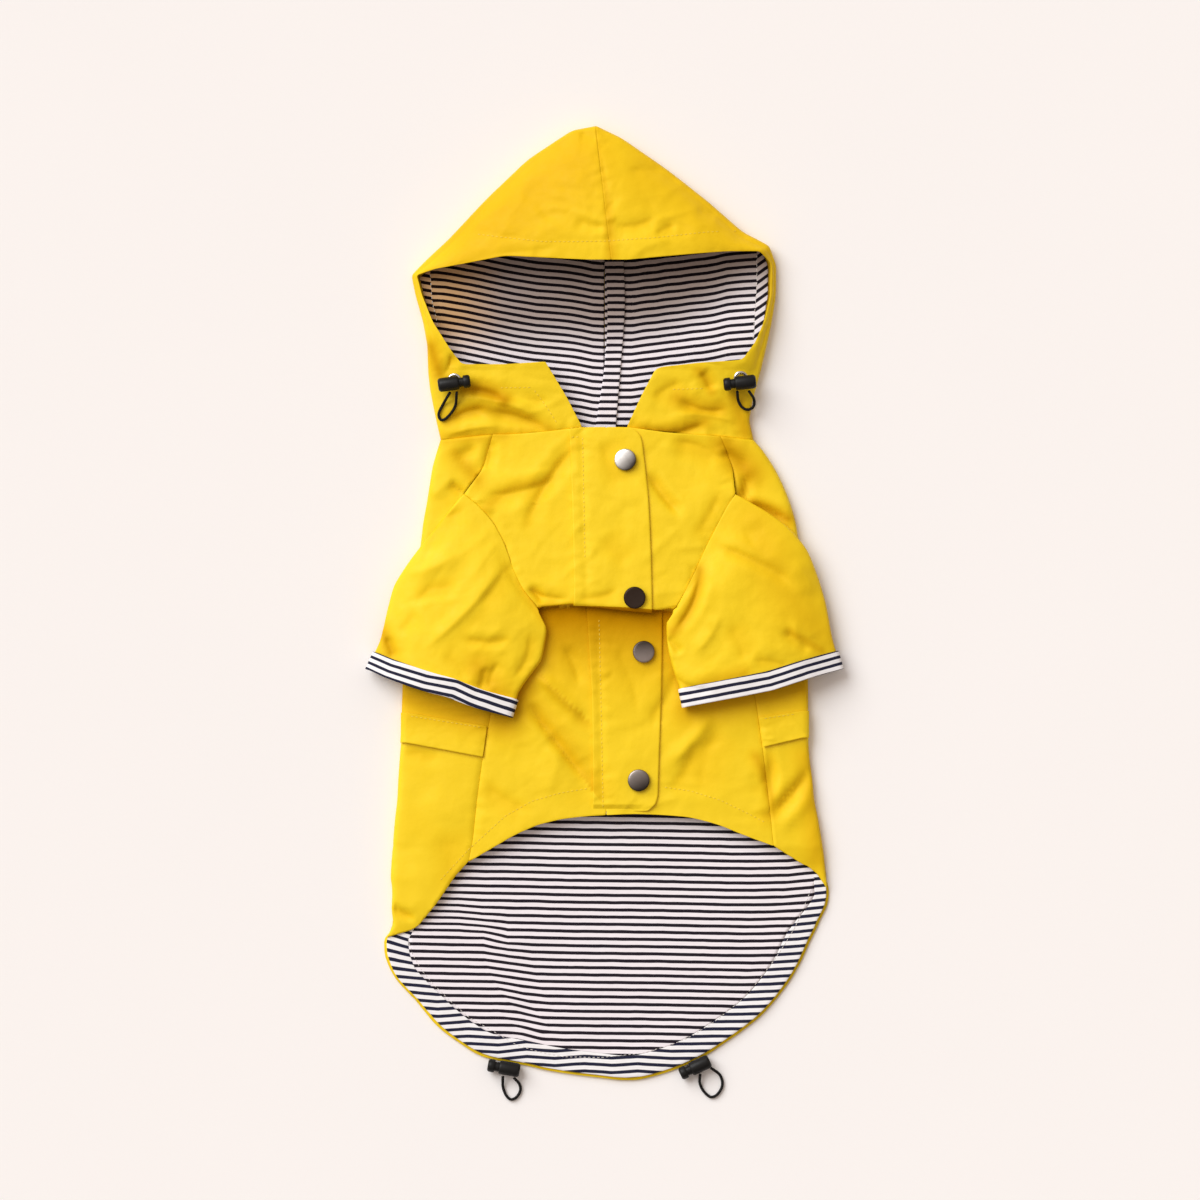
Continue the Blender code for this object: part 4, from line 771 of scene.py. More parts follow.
# Painted shadow of the brim on the hood's lining: what it takes of red, green and blue, what it takes where it
# turns into a painted orange glow, and the x and y of its lower edge
BRIM_SHADOW_LOSS = np.array((0.56, 0.62, 0.67))
PAINTED_GLOW_LOSS = np.array((0.36, 0.58, 0.80))
BRIM_SHADOW_EDGE = ((-93, -63, -27, -3, 33, 63, 84), (159, 161, 165, 164, 170, 184, 196))


def painted_shade_share(group, places):
    """Share of painted shade: 0 on open cloth, up to 1 where the table paints it darkest; troughs of the
    creases get a little.
    """
    # Troughs of the crease table get a little painted shade, and the table's lines get more
    total = np.clip(-crease_height(group, CREASES[group], places) / 14.0, 0.0, 0.2)
    for x0, y0, x1, y1, bow, width, share, way in PAINTED_SHADE_TABLE[group]:
        distance, _, side = nearest(places, bent_line((x0, y0), (x1, y1), bow))
        amount = share * np.exp(-(distance / width) ** 1.6)
        total = np.maximum(total, np.where(side * way < 0.0, 0.0, amount))
    return total


def painted_shade_colours(group, places):
    """What painted shade takes from each place's red, green and blue; on the hood's lining, a painted shadow
    of the brim that turns into a painted orange glow towards its left side.
    """
    if group == "hood_lining":
        # Painted shadow below the brim, fading out under an edge that rises to the right, and turning orange
        # towards the left as a painted glow
        under = places[:, 1] - np.interp(places[:, 0], *BRIM_SHADOW_EDGE)
        glow = np.clip((-60.0 - places[:, 0]) / 30.0, 0.0, 1.0)[:, None]
        return soft_step((under + 20.0) / 31.0)[:, None] * (BRIM_SHADOW_LOSS * (1.0 - glow) + PAINTED_GLOW_LOSS * glow)
    if group in PAINTED_SHADE_TABLE:
        share = painted_shade_share(group, places)
        return np.stack([0.5 * share, 0.69 * share ** 0.8, 0.98 * share ** 0.5], axis=1)
    return np.zeros((len(places), 3))


print("painted shade lines:", sum(len(rows) for rows in PAINTED_SHADE_TABLE.values()))

# %% [markdown]
# ## Stripes on the cloth
#
# Stripes run across the coat and wander with the cloth: a few millimetres up or down where the panel was
# pulled. Each lining piece has a short table of how far its stripes have moved along x, and that shift
# goes into v of the UV map.

# %% Tables of the stripes, in millimetres
# First stripe, distance between stripes, x, shift
STRIPES = {
    "tail": (-136.3, 4.36, (-123, -88, -68, -45, -34, -5, 27, 56, 85, 99, 114, 134),
             (2.6, 1.8, 1.5, 1.2, 0.8, 0.3, 0.0, -0.6, -1.2, -0.9, -0.6, 1.8)),
    "facing": (-137.5, 4.36, (-130, -100, -82, -64, -47, -30, -12, 4, 20, 40, 60, 82, 100, 116, 134),
               (1.2, -1.5, -0.2, -1.3, 0.6, -0.5, 0.7, -0.3, 0.5, -0.6, -0.4, -0.2, 0.5, 1.4, 3.4)),
    "hood_left": (199.4, 4.19, (-99, -84, -70, -56, -41, -27, -19, -12, -5),
                  (12.0, 9.6, 6.6, 3.6, 1.2, 0.0, -0.9, -2.1, -3.6)),
    "hood_right": (200.7, 4.31, (17, 24, 31, 38, 45, 53, 60, 67, 74, 81, 89, 98),
                   (-3.6, -2.4, -1.8, -0.6, 0.0, 1.2, 1.8, 3.0, 4.8, 5.4, 6.0, 6.6)),
    "band": (197.6, 4.25, (0, 12), (0.0, 0.0)),
}
# Lower edge of each cuff, which its stripes follow
CUFF_EDGES = {
    "cuff_left": ((-160.0, -31.0), (-142.0, -39.5), (-131.5, -44.5), (-109.0, -52.5), (-91.5, -56.5),
                  (-81.5, -61.5), (-64.0, -68.0), (-45.0, -75.0)),
    "cuff_right": ((160.0, -34.5), (142.0, -39.5), (123.5, -44.5), (100.5, -52.0), (77.5, -56.5),
                   (48.0, -62.0), (28.0, -65.7)),
}
# First stripe and distance between stripes, each with what it gains towards the body
CUFF_STRIPES = {"cuff_left": (0.2, 2.0, 3.75, 1.0), "cuff_right": (3.4, 0.0, 4.1, 0.4)}
# Strips at the sides of the hood's lining, where the stripes change direction
HOOD_STRIPS = {
    "hood_left": ((-100.5, 160.0), (-100.0, 171.0), (-103.5, 181.0), (-104.7, 200.0)),
    "hood_right": ((89.5, 152.0), (90.5, 176.0), (91.5, 192.0), (91.5, 214.0)),
}
# First stripe, slope, the x where that holds, distance between stripes, side
STRIP_STRIPES = {"hood_left": (188.7, -0.18, -110.0, 4.35, -1), "hood_right": (197.0, 0.7, 98.0, 5.2, 1)}
# The fold across the tail's left side: y, x
TAIL_FOLD = ((-253.0, -238.0, -209.0, -181.0, -175.0), (-45.0, -50.0, -60.0, -79.0, -83.0))


def cut_along(skin, line):
    """Cut the mesh upright along a line, so that the stripes can change direction there."""
    for a, b in zip(line[:-1], line[1:]):
        start, end = Vector((*a, 0.0)) * MM, Vector((*b, 0.0)) * MM
        faces = [face for face in skin.faces if start.y - MM < face.calc_center_median().y < end.y + MM]
        edges = list({edge for face in faces for edge in face.edges})
        verts = list({vert for face in faces for vert in face.verts})
        across = (end - start).cross(Vector((0.0, 0.0, 1.0)))
        bmesh.ops.bisect_plane(skin, geom=faces + edges + verts, dist=1e-6, plane_co=start, plane_no=across)


def stripe_count(kind, places, middles):
    """v of each corner of a face: a whole number at the middle of each dark stripe."""
    x, y = places.T
    if kind in CUFF_EDGES:
        distance = nearest(places, dense_line(CUFF_EDGES[kind]))[0]
        first, more, pitch, wider = CUFF_STRIPES[kind]
        inner = np.clip((142.0 - np.abs(x)) / 86.0, 0.0, 1.0)
        return (distance - first - more * inner) / (pitch + wider * inner)
    first, pitch, xs, shifts = STRIPES[kind]
    v = (first + np.interp(x, xs, shifts) - y) / pitch
    if kind in HOOD_STRIPS:
        edge_x, edge_y = zip(*HOOD_STRIPS[kind])
        start, slope, from_x, step, side = STRIP_STRIPES[kind]
        in_strip = side * (middles[:, 0] - np.interp(middles[:, 1], edge_y, edge_x)) > 0.0
        v = np.where(in_strip, (start + slope * (x - from_x) - y) / step, v)
    if kind == "facing":
        v += 0.2 * np.clip(-114.0 - x, 0.0, 20.0) * np.clip((y + 224.0) / 22.0, 0.0, 1.0) / pitch
    if kind == "tail":
        left_of = np.clip((np.interp(y, *TAIL_FOLD) + 7.5 - x) / 15.0, 0.0, 1.0)
        v += 3.6 / pitch * left_of * np.clip((-172.0 - y) / 25.0, 0.0, 1.0)
    return v


print("stripe tables:", list(STRIPES) + list(CUFF_EDGES))

# %% [markdown]
# ## One maker for every sewn piece
#
# All the cloth pieces go through the same steps: smooth copy, creases and seams on the upper layer, UV map
# for the stripes, and finishes. Under the yellow shell the coat is lined, so faces of the shell that look
# down inside the hood and under the fronts get the striped cotton.

# %% Cloth maker: a cut is a piece's size before it was sewn, in metres, and how it is held
Cut = namedtuple("Cut", "width length area held", defaults=("laid",))
HOOD_MIDDLE = (0.0, 195.0)
LOOKS_DOWN = -0.3
TURNS_OUT = 0.22
HOOD_START = 2.5
HOOD_RISE = 27.0
HOOD_PUFF = 0.66
FLOOR_FADE = 3.0
U_SCALE = 0.01


def ramp(value, start, end):
    """From 0 at the start to 1 at the end, and level outside."""
    return min(max((value - start) / (end - start), 0.0), 1.0)


def lined_under(skin, above):
    """Give the shell's downward faces the lining finish above a height, but not those that turn outward."""
    for face in skin.faces:
        place = face.calc_center_median()
        out = Vector((place.x - HOOD_MIDDLE[0] * MM, place.y - HOOD_MIDDLE[1] * MM, 0.0)).normalized()
        if face.normal.z < LOOKS_DOWN and place.z > above * MM and face.normal.dot(out) < TURNS_OUT:
            face.material_index = 1


def puff_hood(skin, node):
    """Round the upper layer of the hood up from a ramp to a cushion, highest where it is."""
    for vert, share in zip(skin.verts, top_share(skin, node)):
        t = ramp(vert.co.z / MM, HOOD_START, HOOD_START + HOOD_RISE)
        inside = ramp(vert.co.y / MM, 140.0, 170.0)
        vert.co.z += HOOD_RISE * MM * (t ** HOOD_PUFF - t) * share * inside


def move_top(skin, node, group, seed, strength=1.0, floor=0.0):
    """Raise and lower the top layer by creases, seams and broad waves; returns the largest move."""
    places = plan_of(skin)
    shares = top_share(skin, node)
    if floor:
        heights = np.array([vert.co.z for vert in skin.verts]) / MM
        shares = shares * np.clip((heights - floor) / FLOOR_FADE, 0.0, 1.0)
    hold = hold_round(places, SNAP_PLACES if group == "body" else EYELET_PLACES)
    move = crease_height(group, [*CREASES[group], *SMALL_CREASES[group]], places) + broad_waves(places, seed)
    move = (move * hold + seam_height(group, places)) * shares * strength
    for vert, step in zip(skin.verts, move):
        vert.co.z += step * MM
    return float(np.abs(move).max())


def finish_cloth(skin, node, finishes, kind="tail", group=None):
    """Turn a skin into a finished piece that rides on the coat."""
    if kind in HOOD_STRIPS and "lining" in node:
        cut_along(skin, HOOD_STRIPS[kind])
    layer = skin.loops.layers.uv.new("cloth")
    # Each vertex keeps its painted shade: how much of red, green and blue it takes away.
    painted_loss = skin.verts.layers.float_color.new("painted_shade")
    for vert, colour in zip(skin.verts, painted_shade_colours(group, plan_of(skin))):
        vert[painted_loss] = (*colour, 1.0)
    corners = [(loop, face.calc_center_median()) for face in skin.faces for loop in face.loops]
    places = np.array([(loop.vert.co.x, loop.vert.co.y) for loop, _ in corners]) / MM
    middles = np.array([(middle.x, middle.y) for _, middle in corners]) / MM
    for (loop, _), x, v in zip(corners, places[:, 0], stripe_count(kind, places, middles)):
        loop[layer].uv = (x * U_SCALE, v)
    for face in skin.faces:
        face.smooth = True
    piece = add_object("cloth_" + node, mesh_from(skin, "cloth_" + node, *finishes))
    stand_in(piece, node, "coat")
    return piece


cloth = {}
print("cloth maker ready")

# %% [markdown]
# ## Sewing the edges together
#
# The solids leave a hair's breadth between panels. On the real coat the panels are sewn edge to edge with
# their allowances inside, so nothing can be seen between them. Each rim point that has a neighbour panel
# beside it moves half the way to it, and the neighbour's rim does the same.

# %% Skins of the shell, with closed seams
SHELL = ("back", "front_left", "front_right", "placket_upper", "placket_lower", "pocket_flap_left",
         "pocket_flap_right", "sleeve_left", "sleeve_right", "hood_left", "hood_right")
SEWN = (("hood_left", "hood_right"), ("hood_left", "front_left"), ("hood_right", "front_right"),
        ("hood_left", "back"), ("hood_right", "back"), ("hood_left", "placket_upper"),
        ("hood_right", "placket_upper"), ("front_left", "back"), ("front_right", "back"),
        ("front_left", "sleeve_left"), ("front_right", "sleeve_right"), ("back", "sleeve_left"),
        ("back", "sleeve_right"), ("tail_facing", "tail_lining"), ("hood_lining_left", "hood_seam_band"),
        ("hood_lining_right", "hood_seam_band"))
SEWN_GAP = 1.1
ARMHOLE_GAP = 3.4
HALF_WAY = 0.49
skins = {node: smooth_copy(node, 1 if node == "back" else 2) for node in SHELL}
for node in ("tail_lining", "hood_lining_left", "hood_lining_right"):
    skins[node] = smooth_copy(node, 3, ease=0)
for node in ("tail_facing", "hood_seam_band"):
    skins[node] = smooth_copy(node, ease=0)


def close_seams(pairs):
    """Bring the rims of sewn panels together; returns how many points moved."""
    trees = {}
    for node, skin in skins.items():
        skin.normal_update()
        skin.verts.ensure_lookup_table()
        trees[node] = BVHTree.FromBMesh(skin)
    moves = []
    for first, second in pairs:
        reach = ARMHOLE_GAP if "sleeve" in second and "front" in first else SEWN_GAP
        for mine, other in ((first, second), (second, first)):
            for vert in skins[mine].verts:
                if abs(vert.normal.z) > 0.8:
                    continue
                hit = trees[other].find_nearest(vert.co, reach * MM)[0]
                if hit is not None:
                    step = hit - vert.co
                    if abs(step.z) < 0.6 * step.length:
                        moves.append((vert, Vector((step.x, step.y, 0.0)) * HALF_WAY))
    for vert, step in moves:
        vert.co += step
    return len(moves)


print("rim points sewn together:", close_seams(SEWN))

# %% [markdown]
# ## Corners of the tail
#
# Where the hem of the front meets the side fold, the coat is pinched: the wrapped edge runs out into a
# point that lies along the rim of the tail, and the facing starts under it. The same shifts in plan are
# given to every piece there, so that they stay together.

# %% Shape the corners: tables of y or x and a shift, in millimetres
LEFT_PULL = ((-265, -256, -247, -238, -229, -220, -211, -202, -193, -184, -175, -165),
             (0, 1.2, 4.4, 5.0, 2.8, 0.6, -0.6, -0.6, 4.2, 2.4, 1.6, 0))
RIGHT_PULL = ((-215, -202, -190, -182, -174, -160), (0, -1.3, -1.3, 0, 0.9, 0))
LEFT_POINT = ((-131, -125, -118, -112), (-6.1, -3.9, -1.5, 0))
RIGHT_POINT = ((118, 122, 127, 130, 133), (0, 2.2, 0.8, -4, -9))
RIM_RIGHT = ((-200.5, -194.5, -189.5, -181.0, -170.0, -162.5), (126.0, 129.0, 131.0, 134.0, 134.0, 133.0))
FACING_UP_LEFT = 7.0
FACING_UP_RIGHT = 9.0
TAIL_OUT = 6.0
PLACKET_DROP = 1.6


def shift_in_plan(node, x, y, z):
    """How far a point of a piece moves along x and y."""
    dx = dy = 0.0
    if node == "tail_facing":
        dy = FACING_UP_LEFT * ramp(y, -206.0, -200.0) if x < 0 else FACING_UP_RIGHT * ramp(y, -175.0, -169.0)
    if node == "back" and z > 2.0:
        dy = np.interp(x, *LEFT_POINT) * ramp(y, -183.0, -194.0)
        dy += np.interp(x, *RIGHT_POINT) * ramp(y, -150.0, -162.0)
    y += dy
    if node == "tail_facing" and x > 0:
        rim = np.interp(y, *RIM_RIGHT)
        dx = TAIL_OUT * ramp(y, -197.0, -175.0) * ramp(x, rim - 1.6, rim - 14.6)
    if node == "tail_lining":
        dx = TAIL_OUT * ramp(y, -197.0, -175.0) * ramp(x, 95.0, 115.0)
    dx += np.interp(y, *LEFT_PULL) * ramp(x, -80.0, -118.0)
    dx += np.interp(y, *RIGHT_PULL) * ramp(x, 85.0, 118.0)
    return dx, dy


for node in ("back", "tail_facing", "tail_lining"):
    count = 0
    for vert in skins[node].verts:
        dx, dy = shift_in_plan(node, *(vert.co / MM))
        vert.co += Vector((dx, dy, 0.0)) * MM
        count += bool(dx or dy)
    print(node, count, "points shifted")

# The placket's lower end dips at its left corner
for vert in skins["placket_lower"].verts:
    x, y, _ = vert.co / MM
    vert.co.z -= PLACKET_DROP * MM * ramp(y, -120.5, -123.5) * ramp(x, 27.0, 15.0)

# %% [markdown]
# ## Back, fronts and plackets
#
# The back panel is wider than the fronts: it wraps round both sides and comes up to meet them. The right
# front laps over the left in the middle, and a placket with the snaps is sewn on top of it.

# %% Body panels
BODY_CUTS = {
    "back": Cut(0.375, 0.400, 0.1093), "front_left": Cut(0.088, 0.263, 0.0172),
    "front_right": Cut(0.103, 0.254, 0.0190), "placket_upper": Cut(0.0505, 0.112, 0.0052),
    "placket_lower": Cut(0.0460, 0.128, 0.0054), "pocket_flap_left": Cut(0.062, 0.028, 0.0010, "folded"),
    "pocket_flap_right": Cut(0.034, 0.026, 0.00055, "folded"),
}
for node, cut in BODY_CUTS.items():
    skin = skins[node]
    most = move_top(skin, node, "body", 1.0, floor=3.0 if node == "back" else 0.0)
    if node.startswith("front"):
        lined_under(skin, 3.0)
    cloth[node] = finish_cloth(skin, node, (yellow_finish, stripes), group="body")
    print(node, "moved up to", round(most, 2), "mm,", len(cloth[node].data.polygons), "faces")

# %% [markdown]
# ## Sleeves and cuffs
#
# The sleeves are short tubes that lie flat over the sides. Each ends in a narrow cuff of lining, turned up
# and sewn down.

# %% Sleeves
for side, seed in (("left", 5.0), ("right", 9.0)):
    node = "sleeve_" + side
    skin = skins[node]
    most = move_top(skin, node, node, seed)
    cloth[node] = finish_cloth(skin, node, (yellow_finish,), group=node)
    cuff = "cuff_" + side
    skin = smooth_copy(cuff, ease=0)
    move_top(skin, cuff, node, seed, 0.6)
    cloth[cuff] = finish_cloth(skin, cuff, (fresh_stripes,), cuff)
    print(node, "moved up to", round(most, 2), "mm")

# %% [markdown]
# ## Hood
#
# Two halves meet in a seam that leans to the peak. Both are open towards the neck, and the lining shows
# inside the opening, with a narrow band over its own middle seam.

# %% Hood halves and their lining
HOOD_CUTS = {"hood_left": Cut(0.205, 0.195, 0.0272, "folded"),
             "hood_right": Cut(0.19, 0.195, 0.0239, "folded")}
HOOD_SEED = 3.0
for node, cut in HOOD_CUTS.items():
    skin = skins[node]
    puff_hood(skin, node)
    most = move_top(skin, node, "hood", HOOD_SEED, floor=3.0)
    lined_under(skin, 2.6)
    cloth[node] = finish_cloth(skin, node, (yellow_finish, stripes), node, "hood")
    print(node, "moved up to", round(most, 2), "mm")

LINING_CUTS = {
    "hood_lining_left": (Cut(0.113, 0.180, 0.0164), "hood_left"),
    "hood_lining_right": (Cut(0.104, 0.176, 0.0147), "hood_right"),
    "hood_seam_band": (Cut(0.0135, 0.158, 0.00182), "band"),
    "tail_lining": (Cut(0.243, 0.155, 0.0315), "tail"),
    "tail_facing": (Cut(0.0135, 0.380, 0.0048), "facing"),
}
LINING_SEED = 7.0
for node, (cut, kind) in LINING_CUTS.items():
    skin = skins[node]
    places = plan_of(skin)
    rise = np.clip(broad_waves(places, LINING_SEED, height=0.5) + 0.25, 0.0, 1.0)
    if kind == "tail":
        rise += np.clip(crease_height("tail", CREASES["tail"], places), 0.0, 2.0)
    for vert, step in zip(skin.verts, rise):
        vert.co.z += step * MM
    finish = fresh_stripes if node == "tail_facing" else stripes
    group = "hood_lining" if node.startswith("hood") else None
    cloth[node] = finish_cloth(skin, node, (finish,), kind, group)
    print(node, len(cloth[node].data.polygons), "faces")

# %% [markdown]
# ## Rows of stitches
#
# Topstitching holds every hem and placket. A stitch is a grain of thread that lies on the cloth and dips
# into it at both ends. Each is a small round of twenty faces, stretched along the row and joined into one
# piece, set down where a ray from above meets the finished cloth.

# %% Stitch rows, in millimetres: name, thread, points
STITCHES = (
    ("brim", "yellow", ((-84.3, 222.3), (-62.7, 219.3), (-36.9, 216.3), (-15.3, 216.3), (0.9, 216.6),
                        (30.3, 218.7), (60.9, 222.3), (80.7, 223.5))),
    ("collar_left", "yellow", ((-62.7, 129.3), (-42.9, 129.6))),
    ("collar_edge", "yellow", ((-42.3, 128.1), (-35.1, 118.5), (-27.9, 107.1))),
    ("collar_right", "yellow", ((40.5, 128.4), (61.5, 129.0))),
    ("placket_upper", "yellow", ((-13.2, 99.9), (-12.6, 71.7), (-11.7, 26.1))),
    ("tack_top", "yellow", ((-20.9, 105.1), (-12.9, 105.5))),
    ("tack_bottom", "yellow", ((-20.3, 99.7), (-12.9, 100.0))),
    ("placket_lower", "yellow", ((-3.3, -9.3), (-2.1, -57.9), (-0.9, -123.0))),
    ("hem_left", "yellow", ((-98.7, -166.1), (-81.9, -147.9), (-59.7, -127.5), (-43.5, -118.5),
                            (-27.3, -113.7), (-8.7, -110.7))),
    ("hem_right", "yellow", ((35.7, -110.1), (51.9, -112.5), (69.3, -117.9), (84.3, -125.1), (97.5, -131.9))),
    ("flap_left", "yellow", ((-116.5, -67.5), (-72.5, -74.5))),
    ("flap_right", "yellow", ((95.5, -69.1), (116.3, -66.0))),
    ("facing", "white", ((-118.0, -201.0), (-115.6, -210.0), (-110.0, -220.0), (-103.0, -228.5),
                         (-91.5, -239.7), (-81.3, -248.7), (-67.5, -256.5), (-53.7, -264.7), (-41.1, -268.9),
                         (-24.9, -272.2), (-2.7, -272.7), (21.9, -270.2), (39.3, -265.4), (53.1, -259.5),
                         (66.9, -250.5), (81.9, -238.5), (91.5, -227.7), (101.7, -214.5), (108.9, -203.7),
                         (114.9, -193.5), (120.9, -179.7), (124.9, -169.7))),
    ("hood_strip_left", "white", ((-104.7, 198.3), (-103.5, 180.9), (-101.1, 171.3), (-99.9, 165.3))),
    ("hood_strip_right", "white", ((91.5, 209.7), (91.5, 192.3), (90.3, 176.1), (89.1, 156.3))),
)
STITCH_PITCH = 2.7
STITCH_LENGTH = 1.9
THREAD_THICKNESS = 0.4
THREAD_LIFT = 0.08


# %% Lay the stitches down
def thread_finish(name, colour):
    """Twisted sewing thread."""
    material, tree, shader = new_finish(name, Roughness=0.6)
    inputs = {"Vector": object_place(tree), "Scale": 900.0}
    twist = add_node(tree, "ShaderNodeTexWave", inputs, bands_direction="DIAGONAL").outputs["Fac"]
    fill_all(tree, shader, Base_Color=colour_mix(tree, twist, tone(colour, 0.75), tone(colour)),
             Normal=bump(tree, twist, 0.00005))
    return material


def stitch_row(shape, tree, points):
    """Stitches along a row of points; returns how many."""
    line = dense_line(points, 0.9)
    runs = lengths_along(line)
    count = 0
    for start in np.arange(0.3, runs[-1] - STITCH_LENGTH, STITCH_PITCH):
        ends = (start, start + STITCH_LENGTH)
        first, last = [from_above(tree, x * MM, y * MM)
                       for x, y in zip(np.interp(ends, runs, line[:, 0]), np.interp(ends, runs, line[:, 1]))]
        if first is None or last is None:
            continue
        along = last - first
        if abs(along.z) > 0.5 * along.length:
            continue
        middle = (first + last) / 2 + Vector((0.0, 0.0, THREAD_LIFT * MM))
        turn = Vector((1.0, 0.0, 0.0)).rotation_difference(along).to_matrix().to_4x4()
        size = Matrix.Diagonal((along.length / 2, THREAD_THICKNESS / 2 * MM, THREAD_THICKNESS / 2 * MM, 1.0))
        place = Matrix.Translation(middle) @ turn @ size
        bmesh.ops.create_icosphere(shape, subdivisions=1, radius=1.0, matrix=place)
        count += 1
    return count


THREADS = {"yellow": (thread_finish("yellow_thread", (1.0, 0.76, 0.10)), "yellow_shell"),
           "white": (thread_finish("white_thread", (0.92, 0.88, 0.83)), "striped_lining")}
surface = tree_of([piece.data for piece in cloth.values()])
for name, thread, points in STITCHES:
    finish, slot = THREADS[thread]
    shape = bmesh.new()
    number = stitch_row(shape, surface, points)
    mesh = mesh_from(shape, "stitches_" + name, finish)
    mesh.shade_smooth()
    row = add_object("stitches_" + name, mesh)
    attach(row, "coat")
    print("row", name, number, "stitches")

# %% [markdown]
# ## Gunmetal snaps
#
# A snap's cap is one stamped disc: a rolled rim, a shallow groove and a low dome. It is turned like a pot,
# from half its section spun once round. No two caps sit at quite the same tilt, so each mirrors another
# part of the room. Each cap's colour also carries a painted reflection, light on one side and dark on the
# other.


# %% Turned pieces
SHARP_ANGLE = math.radians(40.0)


def turned_piece(name, profile, place, axis, finish, steps=48):
    """Spin a section of (distance along the axis, radius) points once round, and set it in place."""
    shape = bmesh.new()
    verts = [shape.verts.new((radius * MM, 0.0, along * MM)) for along, radius in profile]
    edges = [shape.edges.new(pair) for pair in zip(verts[:-1], verts[1:])]
    bmesh.ops.spin(shape, geom=verts + edges, cent=(0, 0, 0), axis=(0, 0, 1), angle=math.tau, steps=steps,
                   use_merge=True)
    bmesh.ops.remove_doubles(shape, verts=shape.verts, dist=1e-6)
    bmesh.ops.recalc_face_normals(shape, faces=shape.faces)
    if shape.calc_volume(signed=True) < 0.0:
        bmesh.ops.reverse_faces(shape, faces=shape.faces[:])
    turn = Vector((0.0, 0.0, 1.0)).rotation_difference(Vector(axis)).to_matrix().to_4x4()
    shape.transform(Matrix.Translation(Vector(place) * MM) @ turn)
    mesh = mesh_from(shape, name, finish)
    mesh.shade_smooth()
    mesh.set_sharp_from_angle(angle=SHARP_ANGLE)
    return add_object(name, mesh)


# %% Metal finish
def metal_with_wear_and_painted_glint(name, dark, light, roughness, centre=(0.0, 0.0), toward=(0.0, 0.0)):
    """Plated metal with random wear, and, where a direction is given, a painted reflection: lighter on the
    side that points toward it.
    """
    material, tree, shader = new_finish(name, Metallic=1.0, Roughness=roughness)
    place = object_place(tree)
    wear = share = noise_value(tree, place, 420.0, 4.0, 0.6)
    # Painted reflection: the colour runs from dark to light across the cap, toward the given direction
    if any(toward):
        inputs = {0: place, 1: (*toward, 0.0)}
        along = add_node(tree, "ShaderNodeVectorMath", inputs, operation="DOT_PRODUCT").outputs["Value"]
        middle = (centre[0] * toward[0] + centre[1] * toward[1]) * MM
        side = map_range(tree, along, (middle - 0.005, middle + 0.0055))
        share = math_node(tree, "ADD", side, math_node(tree, "MULTIPLY", wear, 0.12))
    fill_all(tree, shader, Base_Color=colour_mix(tree, share, tone(dark), tone(light)),
             Roughness=map_range(tree, wear, target=(roughness - 0.08, roughness + 0.1)),
             Normal=bump(tree, wear, 0.00004, 0.6))
    return material


# %% Four snaps
SNAP_PROFILE = ((0.0, 0.0), (0.0, 5.9), (0.2, 6.4), (0.7, 6.6), (1.5, 6.58), (1.95, 6.45), (2.2, 6.15),
                (2.32, 5.7), (2.42, 4.6), (2.5, 3.4), (2.56, 2.2), (2.59, 1.0), (2.6, 0.0))
# Each snap: place, tilt of its axis, dark and light ends of its painted reflection, roughness, and the
# direction its painted reflection brightens toward
Snap = namedtuple("Snap", "place axis dark light roughness toward")
SNAPS = (
    Snap((12.51, 86.06, 14.85), (-0.08, 0.08, 1.0),
         (0.05, 0.04, 0.036), (0.80, 0.78, 0.75), 0.36, (-0.75, 0.66)),
    Snap((18.02, 3.56, 19.67), (0.03, -0.06, 1.0),
         (0.035, 0.023, 0.017), (0.07, 0.05, 0.04), 0.42, (0.6, -0.8)),
    Snap((23.51, -29.0, 13.12), (0.02, 0.03, 1.0),
         (0.04, 0.03, 0.024), (0.36, 0.31, 0.29), 0.38, (0.2, -0.98)),
    Snap((20.51, -106.0, 13.17), (0.0, 0.02, 1.0),
         (0.04, 0.032, 0.028), (0.30, 0.265, 0.245), 0.36, (-0.4, 0.9)),
)
for number, (snap, centre) in enumerate(zip(SNAPS, SNAP_PLACES), 1):
    node = "snap_%d" % number
    finish = metal_with_wear_and_painted_glint("gunmetal_%d" % number, snap.dark, snap.light, snap.roughness, centre, snap.toward)
    piece = turned_piece("cap_" + node, SNAP_PROFILE, snap.place, snap.axis, finish)
    stand_in(piece, node, "coat")
    print(node, "cap of", 2 * max(radius for _, radius in SNAP_PROFILE), "mm at", snap.place)

# %% [markdown]
# ## Eyelets and cord locks
#
# The drawcord of the hood comes out of a plated eyelet on each side. A cord lock is a moulded barrel with a
# spring plunger: pressed, it lets the cord slide.

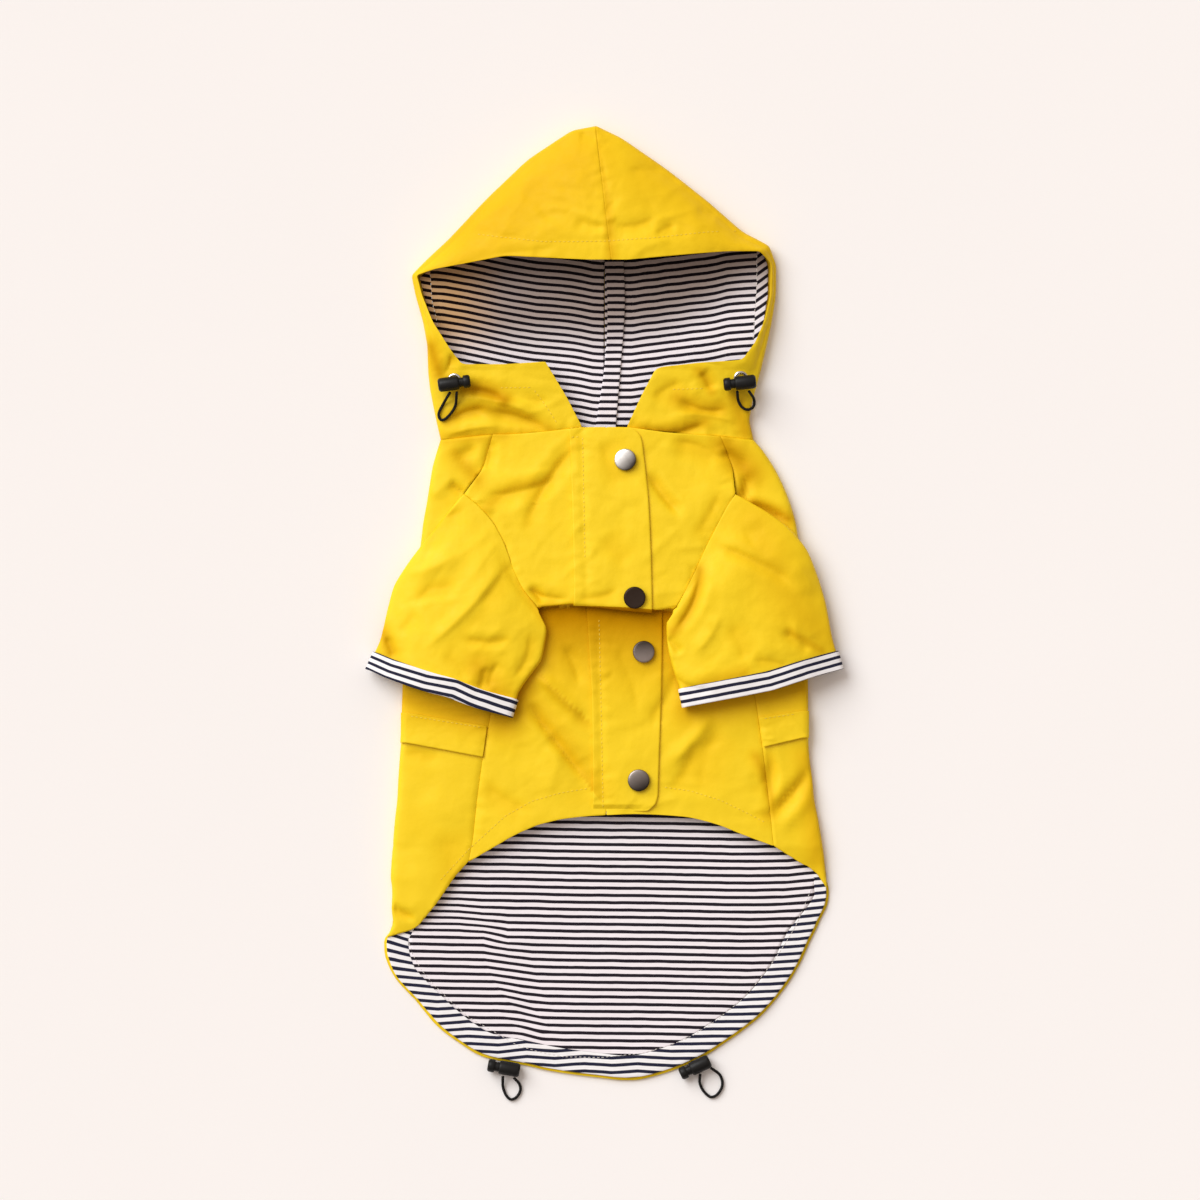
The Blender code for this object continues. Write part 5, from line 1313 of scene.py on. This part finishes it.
# %% Eyelets
EYELET_PROFILE = ((0.0, 2.3), (0.0, 4.2), (0.25, 4.25), (0.6, 4.0), (0.85, 3.5), (0.85, 3.1), (0.6, 2.6),
                  (0.3, 2.35), (0.0, 2.3))
EYELETS = (("eyelet_left", (-90.13, 133.89, 10.03), (-0.14, -0.116, 0.983)),
           ("eyelet_right", (81.67, 135.34, 9.71), (0.176, -0.171, 0.969)))
silver = metal_with_wear_and_painted_glint("silver_plate", (0.60, 0.59, 0.57), (0.80, 0.79, 0.77), 0.22)
for node, place, axis in EYELETS:
    stand_in(turned_piece("ring_" + node, EYELET_PROFILE, place, axis, silver), node, "coat")
    print(node, "ring at", place)

# %% Plastic finish and locks
plastic, tree, shader = new_finish("moulded_plastic", Roughness=0.5, Specular_IOR_Level=0.22)
place = object_place(tree)
mottle = noise_value(tree, place, 200.0)
pits = noise_value(tree, place, 1500.0, 3.0)
black = colour_mix(tree, mottle, (0.005, 0.005, 0.005, 1), (0.012, 0.012, 0.012, 1))
fill_all(tree, shader, Base_Color=black, Normal=bump(tree, pits, 0.00004, 0.7),
         Roughness=map_range(tree, pits, target=(0.34, 0.5)))

BARREL = ((-6.25, 0.0), (-6.25, 2.7), (-6.0, 3.4), (-5.3, 3.95), (-4.6, 4.2), (5.2, 4.2), (5.9, 4.05),
          (6.25, 3.7), (6.25, 3.1), (-2.55, 3.1), (-2.55, 0.0))
PLUNGER = ((0.65, 0.0), (0.65, 2.8), (6.6, 2.8), (6.7, 3.0), (7.3, 3.0), (7.4, 2.8), (8.9, 2.8), (9.05, 3.6),
           (9.5, 3.9), (12.0, 3.9), (12.8, 3.5), (13.25, 2.7), (13.25, 0.0))
LOCKS = (("hood_left", (-93.5, 131.5, 16.29), 8.0), ("hood_right", (84.5, 132.5, 15.89), 186.0),
         ("tail_left", (-57.0, -279.4, 4.25), 170.0), ("tail_right", (57.5, -277.1, 4.25), 205.0))
for name, place, degrees in LOCKS:
    axis = (math.cos(math.radians(degrees)), math.sin(math.radians(degrees)), 0.0)
    for part, profile, body in (("barrel", BARREL, "coat"), ("plunger", PLUNGER, "plunger_" + name)):
        piece = turned_piece("moulded_%s_%s" % (part, name), profile, place, axis, plastic, 32)
        stand_in(piece, "lock_%s_%s" % (part, name), body)
    print("lock", name, "at", place)
